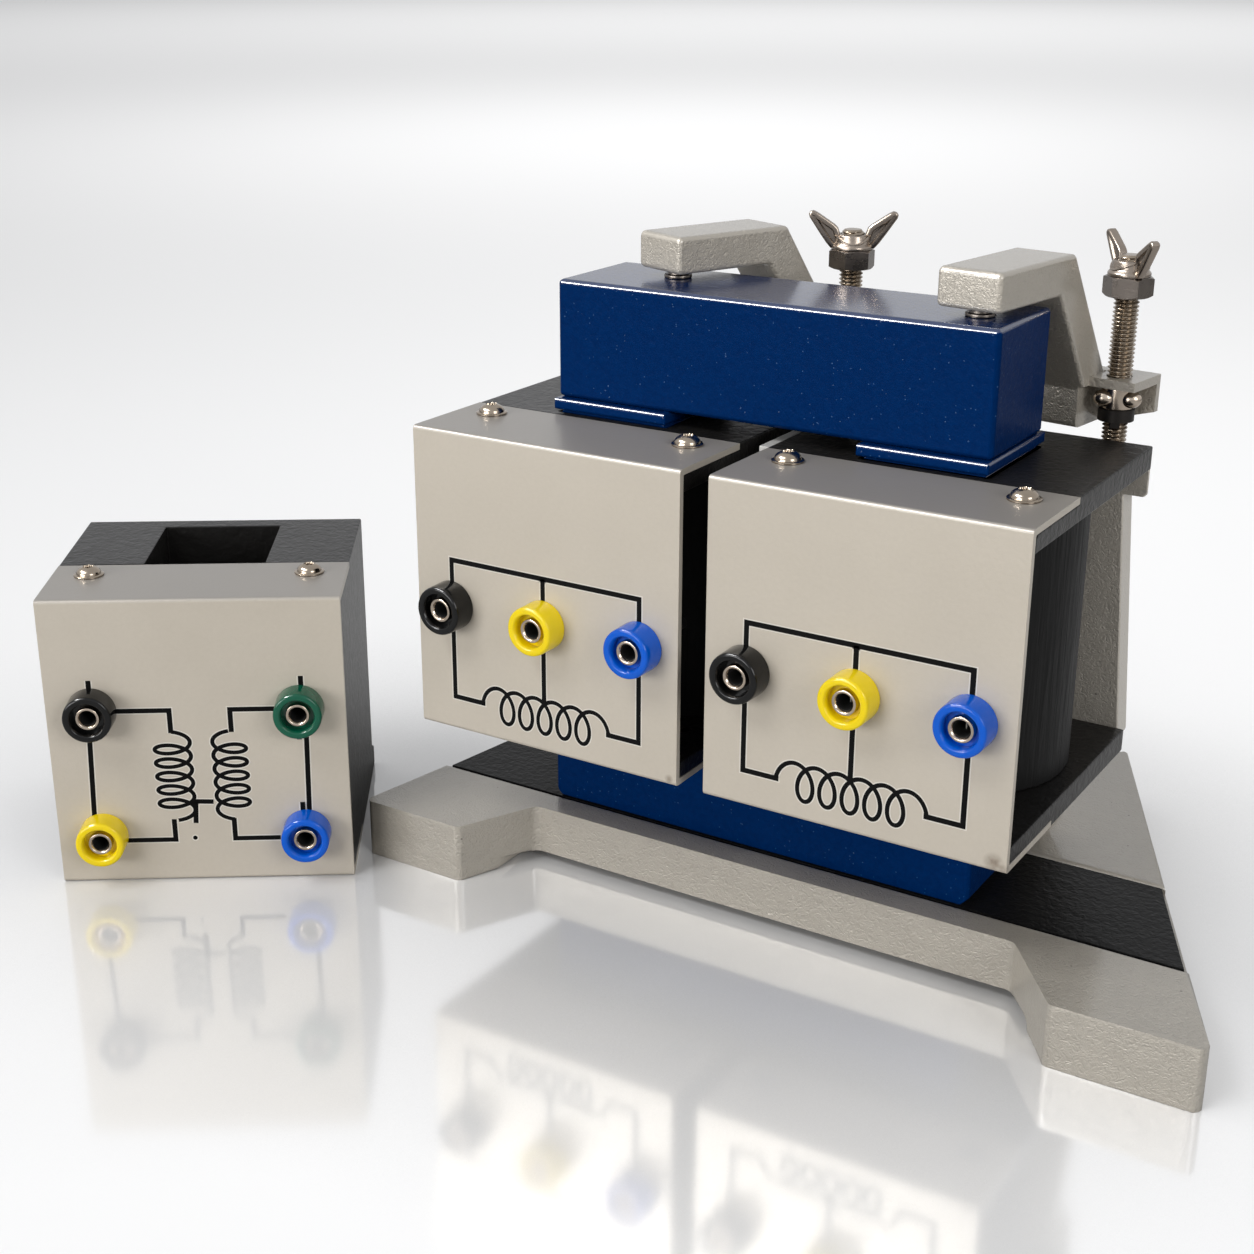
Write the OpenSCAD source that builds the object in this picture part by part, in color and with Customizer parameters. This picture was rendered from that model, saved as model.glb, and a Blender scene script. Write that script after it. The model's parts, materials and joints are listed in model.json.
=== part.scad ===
// Dissectible transformer: a U-shaped core on a cast base, two plug-in coils,
// a loose yoke held down by two swinging clamp arms, and a spare coil beside it.
// Frame: X right along the front, Y to the back, Z up. The origin is on the table
// under the middle of the core.

/* [Core] */
// Width of each core limb along the front
limb_w = 30; // [24:0.5:34]
// Depth of the core stack from front to back
stack_d = 31; // [24:0.5:34]
// Distance between the centre lines of the two limbs
limb_pitch = 82.2; // [80:0.2:100]
// Height of the bar that joins the limbs at the bottom
bar_h = 28; // [24:0.5:40]
// How far the bottom bar runs past each limb
bar_overrun = 2.9; // [0:0.1:6]
// How far a limb stands proud of the coil on it
limb_proud = 0.7; // [0.2:0.1:5]
// Bevel along the edges of the core and the yoke
core_edge = 0.9; // [0.3:0.1:2]

/* [Yoke] */
// Height of the yoke
yoke_h = 29; // [20:0.5:40]
// How far the yoke runs past each limb
yoke_overrun = 0.9; // [0:0.1:4]
// Thickness of the pole pads under the yoke
pad_t = 3; // [1:0.25:6]
// How far a pole pad stands out beside its limb
pad_lip_x = 1.1; // [0:0.1:3]
// How far a pole pad stands out in front of and behind its limb
pad_lip_y = 2; // [0:0.1:2.5]

/* [Coils] */
// Gap between the two working coils
coil_gap = 7.2; // [3.2:0.1:10]
// Height of a coil
coil_h = 77.5; // [65:0.5:100]
// Thickness of the flanges of the coil former
flange_t = 5.7; // [4.5:0.1:9]
// Wall of the square tube inside the winding
tube_wall = 1.6; // [1:0.1:2.5]
// Gap between a limb and the tube around it
limb_gap = 0.6; // [0.3:0.1:1.2]
// From the middle of the core to the face of the front panel
coil_front = 46.4; // [44.5:0.1:56]
// From the middle of the core to the rear edge of the flanges
coil_rear = 30.9; // [27:0.1:40]
// Depth of the winding in front of the tube
winding_front = 9.3; // [4:0.1:9.6]
// From the side of a flange in to the winding
winding_inset = 4.2; // [2.5:0.1:8]
// Depth of the winding behind the tube
winding_rear = 5.3; // [4:0.1:7.5]
// Corner radius of the wound wire, at most half the winding's depth
winding_r = 24; // [10:0.5:24]
// Thickness of the pale spacer strip between the two coils
spacer_t = 2.5; // [1:0.1:3]

/* [Front panels] */
// Thickness of the sheet metal
sheet_t = 1.6; // [1:0.1:2.5]
// Depth of the flaps folded over the top and the bottom of the coil
flap_d = 27.5; // [24:0.1:28]
// Outside radius of the folds
fold_r = 2.6; // [2.6:0.1:5]
// From the side of a panel in to its flap screws
flap_screw_margin = 9.5; // [6:0.5:13]
// Distance of the flap screws from the panel's face
flap_screw_y = 19.4; // [10:0.1:22]
// Diameter of the flap screws' heads
flap_head_d = 7.6; // [7:0.1:9]

/* [Sockets] */
// Bore of the plug sockets
socket_bore_d = 4; // [3.8:0.05:4.2]
// Outside diameter of the metal sleeve
sleeve_d = 6; // [5.2:0.1:6.6]
// Outside diameter of the coloured socket head
socket_d = 12.8; // [11.5:0.1:15]
// How far the socket head stands out of the panel
socket_proud = 6.5; // [5:0.1:9]
// Diameter of the socket's threaded shank
shank_d = 9.8; // [8.8:0.1:10.4]
// From the side of a working coil's panel in to its outer sockets
socket_margin = 10.5; // [8.5:0.5:17]
// Height of the sockets above the foot of a working coil
socket_z = 33.4; // [16:0.1:55]
// From the side of the spare coil's panel in to its sockets
spare_socket_margin = 11.5; // [9.5:0.5:24]
// Width across the corners of the nuts behind the panels
socket_nut_d = 15; // [13:0.1:16]
// Height of the nuts behind the panels
socket_nut_h = 2.5; // [1.5:0.1:4]
// Height of the spare coil's lower sockets
spare_socket_low = 13.3; // [13:0.1:20]
// Height of the spare coil's upper sockets
spare_socket_high = 48; // [36:0.1:62]

/* [Spare coil] */
// Where the foot of the spare coil's panel stands, left to right
spare_x = -123.9; // [-150:0.5:-120]
// Where the foot of the spare coil's panel stands, front to back
spare_y = -81; // [-110:0.5:-78]
// How far the spare coil is turned
spare_turn = 35; // [25:1:45]
// From the middle of the spare coil's opening to its panel
spare_front = 44; // [44:0.1:50]
// From the middle of the spare coil's opening to the rear of its lower flange
spare_rear = 27.5; // [25:0.1:36]
// From the middle of the spare coil's opening to the rear of its upper flange
spare_top_rear = 22; // [20:0.1:30]
// Thickness of the side walls of the spare coil's former
side_wall = 2.2; // [1.5:0.1:2.5]

/* [Base] */
// Height of the base's top face above the table
base_top = 15.5; // [14:0.1:22]
// Room between the front rail and the table
rail_lift = 2.7; // [1:0.1:4]
// Front left corner of the base
base_left = -99; // [-104:0.5:-92]
// Front right corner of the base
base_right = 126.3; // [120:0.5:140]
// Front edge of the two front feet
base_front = -47.3; // [-60:0.1:-42]
// Front face of the rail between the front feet
rail_y = -25.9; // [-30:0.1:-24]
// Width of the left front foot
left_foot_w = 30.8; // [26:0.1:34]
// Width of the right front foot
right_foot_w = 35.6; // [28:0.1:40]
// How far the inner side of the left foot slants
left_slant = 10; // [4:0.5:16]
// How far the inner side of the right foot slants
right_slant = 16; // [6:0.5:22]
// Rear edge of the base
base_rear = 92; // [70:0.5:110]
// Rear left corner of the base
rear_left = -78; // [-88:0.5:-74]
// Rear right corner of the base
rear_right = 62.8; // [58:0.2:80]
// Length of the rear feet from front to back
rear_foot_l = 22; // [14:0.5:34]
// Width of the rear feet
rear_foot_w = 24; // [16:0.5:34]
// Depth of the black channel across the base
channel_depth = 2; // [1:0.1:4]
// Thickness of the black strip in the channel
strip_t = 1.5; // [0.5:0.1:3.5]
// How far the channel runs out in front of the core
channel_front_margin = 1.8; // [1.6:0.1:5]
// How far the channel runs out behind the core
channel_rear_margin = 3.3; // [1:0.1:6]

/* [Back plate] */
// Thickness of the upright plate behind the coils
plate_t = 7; // [5:0.5:9]
// Gap between the coils and the plate
plate_gap = 0.5; // [0.3:0.1:2]
// Half the plate's width at its top
plate_half_top = 72; // [70:0.5:74]
// Half the plate's width beside the foot of the coils
plate_half_mid = 77; // [74:0.5:78.5]
// How far above the foot of the coils the plate is widest
plate_mid_rise = 3; // [0:0.5:8]
// Half the plate's width on the base
plate_half_foot = 58; // [50:0.5:60]
// How far the head of the plate stays below the top of the coils
head_drop = 5.3; // [4:0.1:12]
// Height of the head that carries the studs
head_h = 7.6; // [6:0.1:14]
// Depth of the head from front to back
head_d = 15.6; // [15:0.1:22]
// Half the width of the head
head_half = 78.3; // [75:0.1:80]
// How far each end of the head runs in towards its back
head_taper = 5; // [0:0.5:8]
// Depth of the flange that stands on the base
sole_d = 14; // [12:0.5:18]
// Thickness of that flange
sole_t = 6; // [4:0.5:10]
// Thickness of each rib behind the plate
rib_t = 6; // [4:0.5:8]
// From the end of the plate's foot to the middle of a rib
rib_margin = 20; // [17:0.5:30]
// From the middle of a rib to the screws on each side of it
rib_to_screw = 12; // [9:0.5:14]

/* [Clamps] */
// Sideways place of the left stud
left_stud_x = -4.5; // [-12:0.5:4]
// From the right end of the head to the right stud
right_stud_inset = 11.8; // [10:0.1:16]
// How far the left arm is swung
left_swing = -22; // [-26:1:-4]
// How far the right arm is swung
right_swing = -8; // [-14:1:-2]
// Diameter of the studs
stud_d = 6; // [5:0.1:6.6]
// Length of the studs
stud_l = 56.6; // [54:0.2:76]
// Width of a clamp arm
arm_w = 16; // [10:0.5:16.5]
// Sideways distance from the stud to the near side of the arm
arm_offset = 5; // [4.6:0.1:6]
// Reach of the arm from the stud to its tip
arm_reach = 51; // [44:0.5:56]
// Thickness of the arm over the yoke
arm_t = 9; // [6.5:0.25:12]
// Gap between the arm and the yoke
arm_lift = 2; // [1.5:0.1:4]
// Height of the slotted lug around the stud
lug_h = 12.5; // [12:0.25:16]
// Thickness of the lug's top wall
lug_wall = 2.2; // [1.5:0.1:4]
// Sideways distance from the stud to the lug's outer side
lug_side = 6.6; // [5.5:0.1:11]
// Height of the lug at its outer side
cheek_h = 9; // [6:0.25:12]
// Room between the lug and the coils under it
lug_gap = 1; // [0.5:0.1:3]
// Diameter of the pressure screws
press_d = 5; // [4:0.1:6]
// Diameter of the pressure screws' feet
press_foot_d = 6.8; // [6.2:0.1:9]

/* [Nuts] */
// Width of the hexagon nuts across their flats
hex_af = 10.2; // [9:0.1:12]
// Height of the hexagon nuts
hex_h = 4.75; // [4:0.25:8]
// How far the end of a stud rises above its hexagon nut
stud_end = 5; // [4:0.1:9]
// Height of the wing nuts' hubs
hub_h = 3.7; // [3:0.1:6]
// Thickness of the wings
wing_t = 2.2; // [1.5:0.1:3]
// Reach of the wings from the stud
wing_reach = 11.2; // [10.5:0.1:14]
// How far the left wing nut is turned
left_wing_turn = 27; // [0:1:90]
// How far the right wing nut is turned
right_wing_turn = -44; // [-90:1:0]
// Height of the small wing nuts inside the lugs
lock_h = 5.2; // [4.5:0.1:5.5]
// Reach of the small wing nuts' lobes
lock_reach = 6.1; // [5.8:0.1:6.6]
// Height of the collars under the small wing nuts
collar_h = 2.9; // [1.5:0.1:3]

/* [Hidden] */
$fn = 48;
seat = 0.02;          // parts that rest on each other are this far apart
running = 0.05;       // radial clearance of turning and sliding fits
overlap = 1;          // cutters run past the face they cut
limb_half = limb_pitch / 2;
coil_w = limb_pitch - coil_gap;
flap_screw_x = coil_w / 2 - flap_screw_margin;

// heights, from the table up
strip_top = base_top - channel_depth + strip_t;
coil_z = strip_top + bar_h;
coil_top = coil_z + coil_h;
limb_top = coil_top + limb_proud;
yoke_z = limb_top + pad_t;
yoke_top = yoke_z + yoke_h;
arm_z = yoke_top + arm_lift;
arm_top = arm_z + arm_t;
lug_z = coil_top + lug_gap;
lug_top = lug_z + lug_h;
head_top = coil_top - head_drop;
stud_z = head_top - head_h - 1.5;
stud_top = stud_z + stud_l;
hex_z = stud_top - stud_end - hex_h;
hub_z = hex_z + hex_h;

// the coil former
hole_w = limb_w + 2 * limb_gap;
hole_d = stack_d + 2 * limb_gap;
tube_w = hole_w + 2 * tube_wall;
tube_d = hole_d + 2 * tube_wall;
winding_h = coil_h - 2 * flange_t;

// the plate behind the coils
plate_y = coil_rear + plate_gap;
stud_y = plate_y + head_d / 2;
yoke_l = limb_pitch + limb_w + 2 * yoke_overrun;
rib_x = plate_half_foot - rib_margin;
right_stud_x = head_half - right_stud_inset;

// small screws
flap_screw_d = 4;
bolt_d = 6;
sole_screw_d = 5;
sole_screw_head_d = 8.5;
sole_screw_head_h = 4.6;
hex_key = 4.6;        // across the corners of the recesses in cap screws
clear = 0.15;         // radial clearance of screws in plain holes

// ---------------------------------------------------------------- shapes

// Unit vector from point a to point b.
function towards(a, b) = (b - a) / norm(b - a);

// The rounded corner at point p between its neighbours a and b.
function corner(a, p, b, r, steps) =
    let (u = towards(p, a), v = towards(p, b), half = acos(u * v) / 2,
         centre = p + towards([0, 0], u + v) * r / sin(half),
         first = p + u * r / tan(half) - centre, turn = 180 - 2 * half,
         side = u.x * v.y - u.y * v.x > 0 ? -1 : 1)
    [for (i = [0:steps]) let (t = side * turn * i / steps)
        centre + [first.x * cos(t) - first.y * sin(t), first.x * sin(t) + first.y * cos(t)]];

// A closed outline with every corner rounded.
function rounded(points, r, steps = 4) =
    let (n = len(points))
    [for (i = [0:n - 1]) each corner(points[(i + n - 1) % n], points[i], points[(i + 1) % n],
        r, steps)];

// Corners of a rectangle from [x0, y0] to [x1, y1], counted anticlockwise.
function rectangle(x0, y0, x1, y1) = [[x0, y0], [x1, y0], [x1, y1], [x0, y1]];

// Corners of a rectangle with its corners cut off by c.
function bevelled(x0, y0, x1, y1, c) = [[x0 + c, y0], [x1 - c, y0], [x1, y0 + c], [x1, y1 - c],
    [x1 - c, y1], [x0 + c, y1], [x0, y1 - c], [x0, y0 + c]];

// A side view, drawn in Y and Z, given a thickness from x0 to x1.
module side_view(points, x0, x1) {
    translate([x0, 0, 0]) rotate([90, 0, 90]) linear_extrude(x1 - x0) polygon(points);
}

// A front view, drawn in X and Z, given a depth from y0 to y1.
module front_view(points, y0, y1) {
    translate([0, y1, 0]) rotate([90, 0, 0]) linear_extrude(y1 - y0) polygon(points);
}

// A block from [x0, y0, z0] to [x1, y1, z1] with bevelled edges.
module bevelled_block(x0, y0, z0, x1, y1, z1, c) {
    intersection() {
        translate([0, 0, z0]) linear_extrude(z1 - z0) polygon(bevelled(x0, y0, x1, y1, c));
        front_view(bevelled(x0, z0, x1, z1, c), y0, y1);
        side_view(bevelled(y0, z0, y1, z1, c), x0, x1);
    }
}

// A plain block between two corners.
module block(x0, y0, z0, x1, y1, z1) {
    translate([x0, y0, z0]) cube([x1 - x0, y1 - y0, z1 - z0]);
}

// ---------------------------------------------------------------- base

base_outline = [[base_left, base_front], [base_left + left_foot_w, base_front],
    [base_left + left_foot_w + left_slant, rail_y],
    [base_right - right_foot_w - right_slant, rail_y],
    [base_right - right_foot_w, base_front], [base_right, base_front],
    [rear_right, base_rear], [rear_left, base_rear]];
channel_y0 = -stack_d / 2 - channel_front_margin;
channel_y1 = stack_d / 2 + channel_rear_margin;
core_bolt_xs = [-limb_half, limb_half];
core_bolt_head_h = 6;
core_bolt_head_z = rail_lift + 1;
core_bolt_bite = 9;
sole_y = plate_y + plate_t + sole_d / 2 + 0.5;
sole_screw_xs = [-rib_x - rib_to_screw, -rib_x + rib_to_screw, rib_x - rib_to_screw,
    rib_x + rib_to_screw];
sole_screw_bite = 9;

module base_shape(z0, z1) {
    translate([0, 0, z0]) linear_extrude(z1 - z0) polygon(rounded(base_outline, 2.5));
}

module base_casting() color([0.66, 0.65, 0.61]) {
    difference() {
        union() {
            base_shape(rail_lift, base_top);
            intersection() {
                base_shape(0, rail_lift + overlap);
                union() {
                    block(base_left, base_front, 0, base_left + left_foot_w + left_slant / 2,
                        rail_y + 8, rail_lift + overlap);
                    block(base_right - right_foot_w - right_slant / 2, base_front, 0, base_right,
                        rail_y + 8, rail_lift + overlap);
                    for (x = [rear_left, rear_right]) block(x - rear_foot_w,
                        base_rear - rear_foot_l, 0, x + rear_foot_w, base_rear, rail_lift + overlap);
                }
            }
        }
        block(base_left - 5, channel_y0, base_top - channel_depth, base_right + 5, channel_y1,
            base_top + overlap);
        for (x = core_bolt_xs) translate([x, 0, 0]) {
            cylinder(d = bolt_d + 2 * clear, h = base_top);
            cylinder(d = bolt_d + 4.6, h = core_bolt_head_z + core_bolt_head_h);
        }
        for (x = sole_screw_xs) translate([x, sole_y, base_top - sole_screw_bite - 1])
            cylinder(d = sole_screw_d + 2 * running, h = sole_screw_bite + 2);
    }
}

module base_strip() color([0.07, 0.07, 0.08]) {
    difference() {
        intersection() {
            translate([0, 0, base_top - channel_depth]) linear_extrude(strip_t)
                offset(delta = -0.9) polygon(base_outline);
            block(base_left, channel_y0 + 1.1, 0, base_right, channel_y1 - 0.1, strip_top);
        }
        for (x = core_bolt_xs) translate([x, 0, 0]) cylinder(d = bolt_d + 2 * clear, h = base_top);
    }
}

// ---------------------------------------------------------------- core and yoke

bar_half = limb_half + limb_w / 2 + bar_overrun;
limb_out = limb_half + limb_w / 2;
limb_in = limb_half - limb_w / 2;

core_outline = [[-bar_half + 2, strip_top], [bar_half - 2, strip_top], [bar_half, strip_top + 2],
    [bar_half, coil_z - 2 * core_edge], [bar_half - core_edge, coil_z - seat],
    [limb_out, coil_z - seat],
    [limb_out, limb_top - core_edge], [limb_out - core_edge, limb_top],
    [limb_in + core_edge, limb_top], [limb_in, limb_top - core_edge], [limb_in, coil_z - seat],
    [-limb_in, coil_z - seat], [-limb_in, limb_top - core_edge], [-limb_in - core_edge, limb_top],
    [-limb_out + core_edge, limb_top], [-limb_out, limb_top - core_edge],
    [-limb_out, coil_z - seat], [-bar_half + core_edge, coil_z - seat],
    [-bar_half, coil_z - 2 * core_edge], [-bar_half, strip_top + 2]];

module u_core() color([0.05, 0.12, 0.38]) {
    difference() {
        intersection() {
            front_view(core_outline, -stack_d / 2, stack_d / 2);
            translate([0, 0, strip_top]) linear_extrude(limb_top)
                polygon(bevelled(-bar_half, -stack_d / 2, bar_half, stack_d / 2, core_edge));
        }
        for (x = core_bolt_xs) translate([x, 0, strip_top - overlap])
            cylinder(d = bolt_d + 2 * running, h = core_bolt_bite + 2 * overlap);
    }
}

// Two socket-head bolts that hold the core down from under the base.
module core_bolts() color([0.45, 0.45, 0.47]) {
    for (x = core_bolt_xs) translate([x, 0, core_bolt_head_z]) difference() {
        union() {
            cylinder(d = bolt_d + 4, h = core_bolt_head_h - seat);
            cylinder(d = bolt_d, h = strip_top + core_bolt_bite - core_bolt_head_z);
        }
        translate([0, 0, -overlap]) cylinder(d = 5.8, h = 3.2 + overlap, $fn = 6);
    }
}

module yoke() color([0.05, 0.12, 0.38]) {
    bevelled_block(-yoke_l / 2, -stack_d / 2, yoke_z, yoke_l / 2, stack_d / 2, yoke_top, core_edge);
}

module pole_pad(x) color([0.05, 0.12, 0.38]) {
    bevelled_block(x - limb_w / 2 - pad_lip_x, -stack_d / 2 - pad_lip_y, limb_top + seat,
        x + limb_w / 2 + pad_lip_x, stack_d / 2 + pad_lip_y, yoke_z, 0.6);
}

// ---------------------------------------------------------------- back plate

// The plate is widest beside the foot of the coils and runs in to its own foot.
plate_mid_z = coil_z + plate_mid_rise;
plate_outline = [[-plate_half_foot, base_top], [plate_half_foot, base_top],
    [plate_half_mid, plate_mid_z], [plate_half_top, head_top], [-plate_half_top, head_top],
    [-plate_half_mid, plate_mid_z]];

// The head that carries the studs, with its ends running in towards the back.
module plate_head() {
    back = head_half - head_taper;
    intersection() {
        front_view(bevelled(-head_half, head_top - head_h, head_half, head_top, 1),
            plate_y, plate_y + head_d);
        translate([0, 0, head_top - head_h]) linear_extrude(head_h)
            polygon([[-head_half, plate_y], [head_half, plate_y], [back, plate_y + head_d],
                [-back, plate_y + head_d]]);
    }
}

module back_plate() color([0.70, 0.69, 0.65]) {
    difference() {
        union() {
            front_view(plate_outline, plate_y, plate_y + plate_t);
            plate_head();
            block(-plate_half_foot, plate_y, base_top, plate_half_foot, plate_y + plate_t + sole_d,
                base_top + sole_t);
            for (x = [-rib_x, rib_x]) side_view([[plate_y + 1, base_top + 1],
                [plate_y + plate_t + sole_d - 1, base_top + 1],
                [plate_y + plate_t + sole_d - 1, base_top + sole_t + 3],
                [plate_y + plate_t + 4, head_top - head_h - 10],
                [plate_y + plate_t + 4, head_top - 1], [plate_y + 1, head_top - 1]],
                x - rib_t / 2, x + rib_t / 2);
        }
        for (x = [left_stud_x, right_stud_x]) translate([x, stud_y, stud_z - overlap])
            cylinder(d = stud_d + 2 * running, h = head_top - stud_z + 2 * overlap);
        for (x = sole_screw_xs) translate([x, sole_y, base_top - overlap])
            cylinder(d = sole_screw_d + 2 * clear, h = sole_t + 2 * overlap);
    }
}

// Cap screws through the sole of the plate into the base.
module plate_screws() color([0.45, 0.45, 0.47]) {
    for (x = sole_screw_xs) translate([x, sole_y, base_top - sole_screw_bite]) difference() {
        union() {
            cylinder(d = sole_screw_d, h = sole_screw_bite + sole_t + 1);
            translate([0, 0, sole_screw_bite + sole_t])
                cylinder(d = sole_screw_head_d, h = sole_screw_head_h);
        }
        translate([0, 0, sole_screw_bite + sole_t + sole_screw_head_h / 2])
            cylinder(d = hex_key, h = sole_screw_head_h, $fn = 6);
    }
}

// ---------------------------------------------------------------- coils

// Puts a coil on its limb, or the spare one on the table. A coil is drawn with the
// middle of its opening on the Z axis and its foot at Z = 0.
module place(side) {
    if (side == "left") translate([-limb_half, 0, coil_z]) children();
    if (side == "right") translate([limb_half, 0, coil_z]) children();
    if (side == "spare")
        translate([spare_x, spare_y, 0]) rotate(spare_turn) translate([0, spare_front, 0]) children();
}

function front_of(side) = side == "spare" ? spare_front : coil_front;
function rear_of(side) = side == "spare" ? spare_rear : coil_rear;
function top_rear_of(side) = side == "spare" ? spare_top_rear : coil_rear;

// Socket places on a coil: [x, z, colour name].
function sockets_of(side) =
    let (x = coil_w / 2 - socket_margin, s = coil_w / 2 - spare_socket_margin)
    side == "spare"
    ? [[-s, spare_socket_high, "black"], [s, spare_socket_high, "green"],
       [-s, spare_socket_low, "yellow"], [s, spare_socket_low, "blue"]]
    : [[-x, socket_z, "black"], [0, socket_z, "yellow"], [x, socket_z, "blue"]];

// Side view of a flange, folded side up, with a rebate for the panel's flap and a
// chamfer that clears the inside of the fold.
function flange_side(front, rear) =
    let (y = -front + sheet_t, z = flange_t - sheet_t, c = fold_r - sheet_t)
    [[y, 0], [rear, 0], [rear, flange_t], [-front + flap_d, flange_t], [-front + flap_d, z],
     [y + c, z], [y, z - c]];

module former(side) color([0.06, 0.06, 0.07]) {
    front = front_of(side);
    half = coil_w / 2;
    z0 = flange_t / 2;
    z1 = coil_h - flange_t / 2;
    place(side) difference() {
        union() {
            translate([0, 0, flange_t]) mirror([0, 0, 1])
                side_view(flange_side(front, rear_of(side)), -half, half);
            translate([0, 0, coil_h - flange_t])
                side_view(flange_side(front, top_rear_of(side)), -half, half);
            block(-tube_w / 2, -tube_d / 2, z0, tube_w / 2, tube_d / 2, z1);
            if (side == "spare") for (x = [-half, half - side_wall])
                block(x, -front + sheet_t, flange_t - 0.5, x + side_wall, spare_top_rear,
                    coil_h - flange_t + 0.5);
        }
        block(-hole_w / 2, -hole_d / 2, -overlap, hole_w / 2, hole_d / 2, coil_h + overlap);
        for (x = [-flap_screw_x, flap_screw_x]) translate([x, -front + flap_screw_y, -overlap])
            cylinder(d = flap_screw_d + 2 * running, h = coil_h + 2 * overlap);
    }
}

module winding(side) color([0.08, 0.08, 0.09]) {
    x1 = coil_w / 2 - winding_inset;
    y0 = -tube_d / 2 - winding_front;
    y1 = min(tube_d / 2 + winding_rear, top_rear_of(side) - 1);
    place(side) translate([0, 0, flange_t]) linear_extrude(winding_h) difference() {
        polygon(rounded(rectangle(-x1, y0, x1, y1), min(winding_r, (y1 - y0) / 2 - 0.5), 8));
        polygon(rectangle(-tube_w / 2, -tube_d / 2, tube_w / 2, tube_d / 2));
    }
}

// The folded panel: a front sheet with a flap over the top and one under the foot.
function folded(front) =
    let (r = fold_r, q = fold_r - sheet_t, y = -front, f = -front + flap_d, h = coil_h)
    [[f, 0], [f, sheet_t],
     for (i = [0:4]) [y + fold_r - q * sin(22.5 * i), fold_r - q * cos(22.5 * i)],
     for (i = [0:4]) [y + fold_r - q * cos(22.5 * i), h - fold_r + q * sin(22.5 * i)],
     [f, h - sheet_t], [f, h],
     for (i = [0:4]) [y + fold_r - r * sin(22.5 * i), h - fold_r + r * cos(22.5 * i)],
     for (i = [0:4]) [y + fold_r - r * cos(22.5 * i), fold_r - r * sin(22.5 * i)]];

module panel(side) color([0.75, 0.72, 0.67]) {
    front = front_of(side);
    place(side) difference() {
        side_view(folded(front), -coil_w / 2, coil_w / 2);
        for (s = sockets_of(side)) translate([s.x, -front - overlap, s.y]) rotate([-90, 0, 0])
            cylinder(d = shank_d + 2 * clear, h = sheet_t + 2 * overlap);
        for (x = [-flap_screw_x, flap_screw_x]) translate([x, -front + flap_screw_y, 0]) {
            translate([0, 0, coil_h - sheet_t - overlap])
                cylinder(d = flap_screw_d + 2 * clear, h = sheet_t + 2 * overlap);
            translate([0, 0, -seat])
                cylinder(d1 = 7.4, d2 = flap_screw_d + 2 * clear, h = sheet_t + 2 * seat);
        }
    }
}

// Button screws in the top flap and countersunk ones, flush, in the bottom flap.
module flap_screws(side) color([0.72, 0.70, 0.66]) {
    bite = flange_t - sheet_t - 0.6;
    head_h = 2.6;
    rim = 0.75;
    dome_r = flap_head_d / 2 - 0.7;
    place(side) for (x = [-flap_screw_x, flap_screw_x])
        translate([x, -front_of(side) + flap_screw_y, 0]) {
            translate([0, 0, coil_h]) difference() {
                rotate_extrude() polygon([[0, -sheet_t - bite], [flap_screw_d / 2, -sheet_t - bite],
                    [flap_screw_d / 2, 0], [flap_head_d / 2, 0], [flap_head_d / 2, 0.5],
                    [flap_head_d / 2 - 0.4, rim],
                    for (i = [1:5]) [dome_r * cos(15 * i), rim + (head_h - rim) * sin(15 * i)],
                    [0, head_h]]);
                translate([0, 0, 1]) cylinder(d = 2.6, h = head_h, $fn = 6);
            }
            rotate_extrude() polygon([[0, 0.1], [3.45, 0.1], [flap_screw_d / 2, sheet_t - 0.1],
                [flap_screw_d / 2, sheet_t + bite], [0, sheet_t + bite]]);
        }
}

// Puts a part that is drawn along +Z at each socket of one colour, or of all.
module at_sockets(side, colour = "all") {
    place(side) for (s = sockets_of(side)) if (colour == "all" || s[2] == colour)
        translate([s.x, -front_of(side), s.y]) rotate([90, 0, 0]) children();
}

shank_l = 9;
sleeve_back = 12.5;
recess_d = sleeve_d + 2.4;
sleeve_front = socket_proud - 1.1;

module socket_head(side, colour, shade) color(shade) {
    r = socket_d / 2;
    at_sockets(side, colour) rotate_extrude() polygon([[sleeve_d / 2 + seat, -shank_l],
        [shank_d / 2, -shank_l], [shank_d / 2, 0], [r, 0], [r, socket_proud - 1.3],
        [r - 0.2, socket_proud - 0.6], [r - 0.7, socket_proud - 0.15], [r - 1.3, socket_proud],
        [recess_d / 2 + 0.4, socket_proud], [recess_d / 2, socket_proud - 0.5],
        [recess_d / 2, socket_proud - 3], [sleeve_d / 2 + seat, socket_proud - 3]]);
}

// Metal sleeves with the plug bore, and a solder pin at their back.
module sleeves(side) color([0.75, 0.72, 0.66]) {
    bore = socket_bore_d / 2;
    at_sockets(side) rotate_extrude() polygon([[0, -sleeve_back - 3], [1, -sleeve_back - 3],
        [1, -sleeve_back], [sleeve_d / 2, -sleeve_back], [sleeve_d / 2, sleeve_front - 0.3],
        [sleeve_d / 2 - 0.3, sleeve_front], [bore + 0.4, sleeve_front], [bore, sleeve_front - 0.5],
        [bore, -sleeve_back + 1.5], [0, -sleeve_back + 1.5]]);
}

module socket_nuts(side) color([0.60, 0.60, 0.58]) {
    at_sockets(side) translate([0, 0, -sheet_t - socket_nut_h]) difference() {
        cylinder(d = socket_nut_d, h = socket_nut_h, $fn = 6);
        translate([0, 0, -overlap])
            cylinder(d = shank_d + 2 * running, h = socket_nut_h + 2 * overlap);
    }
}

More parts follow.
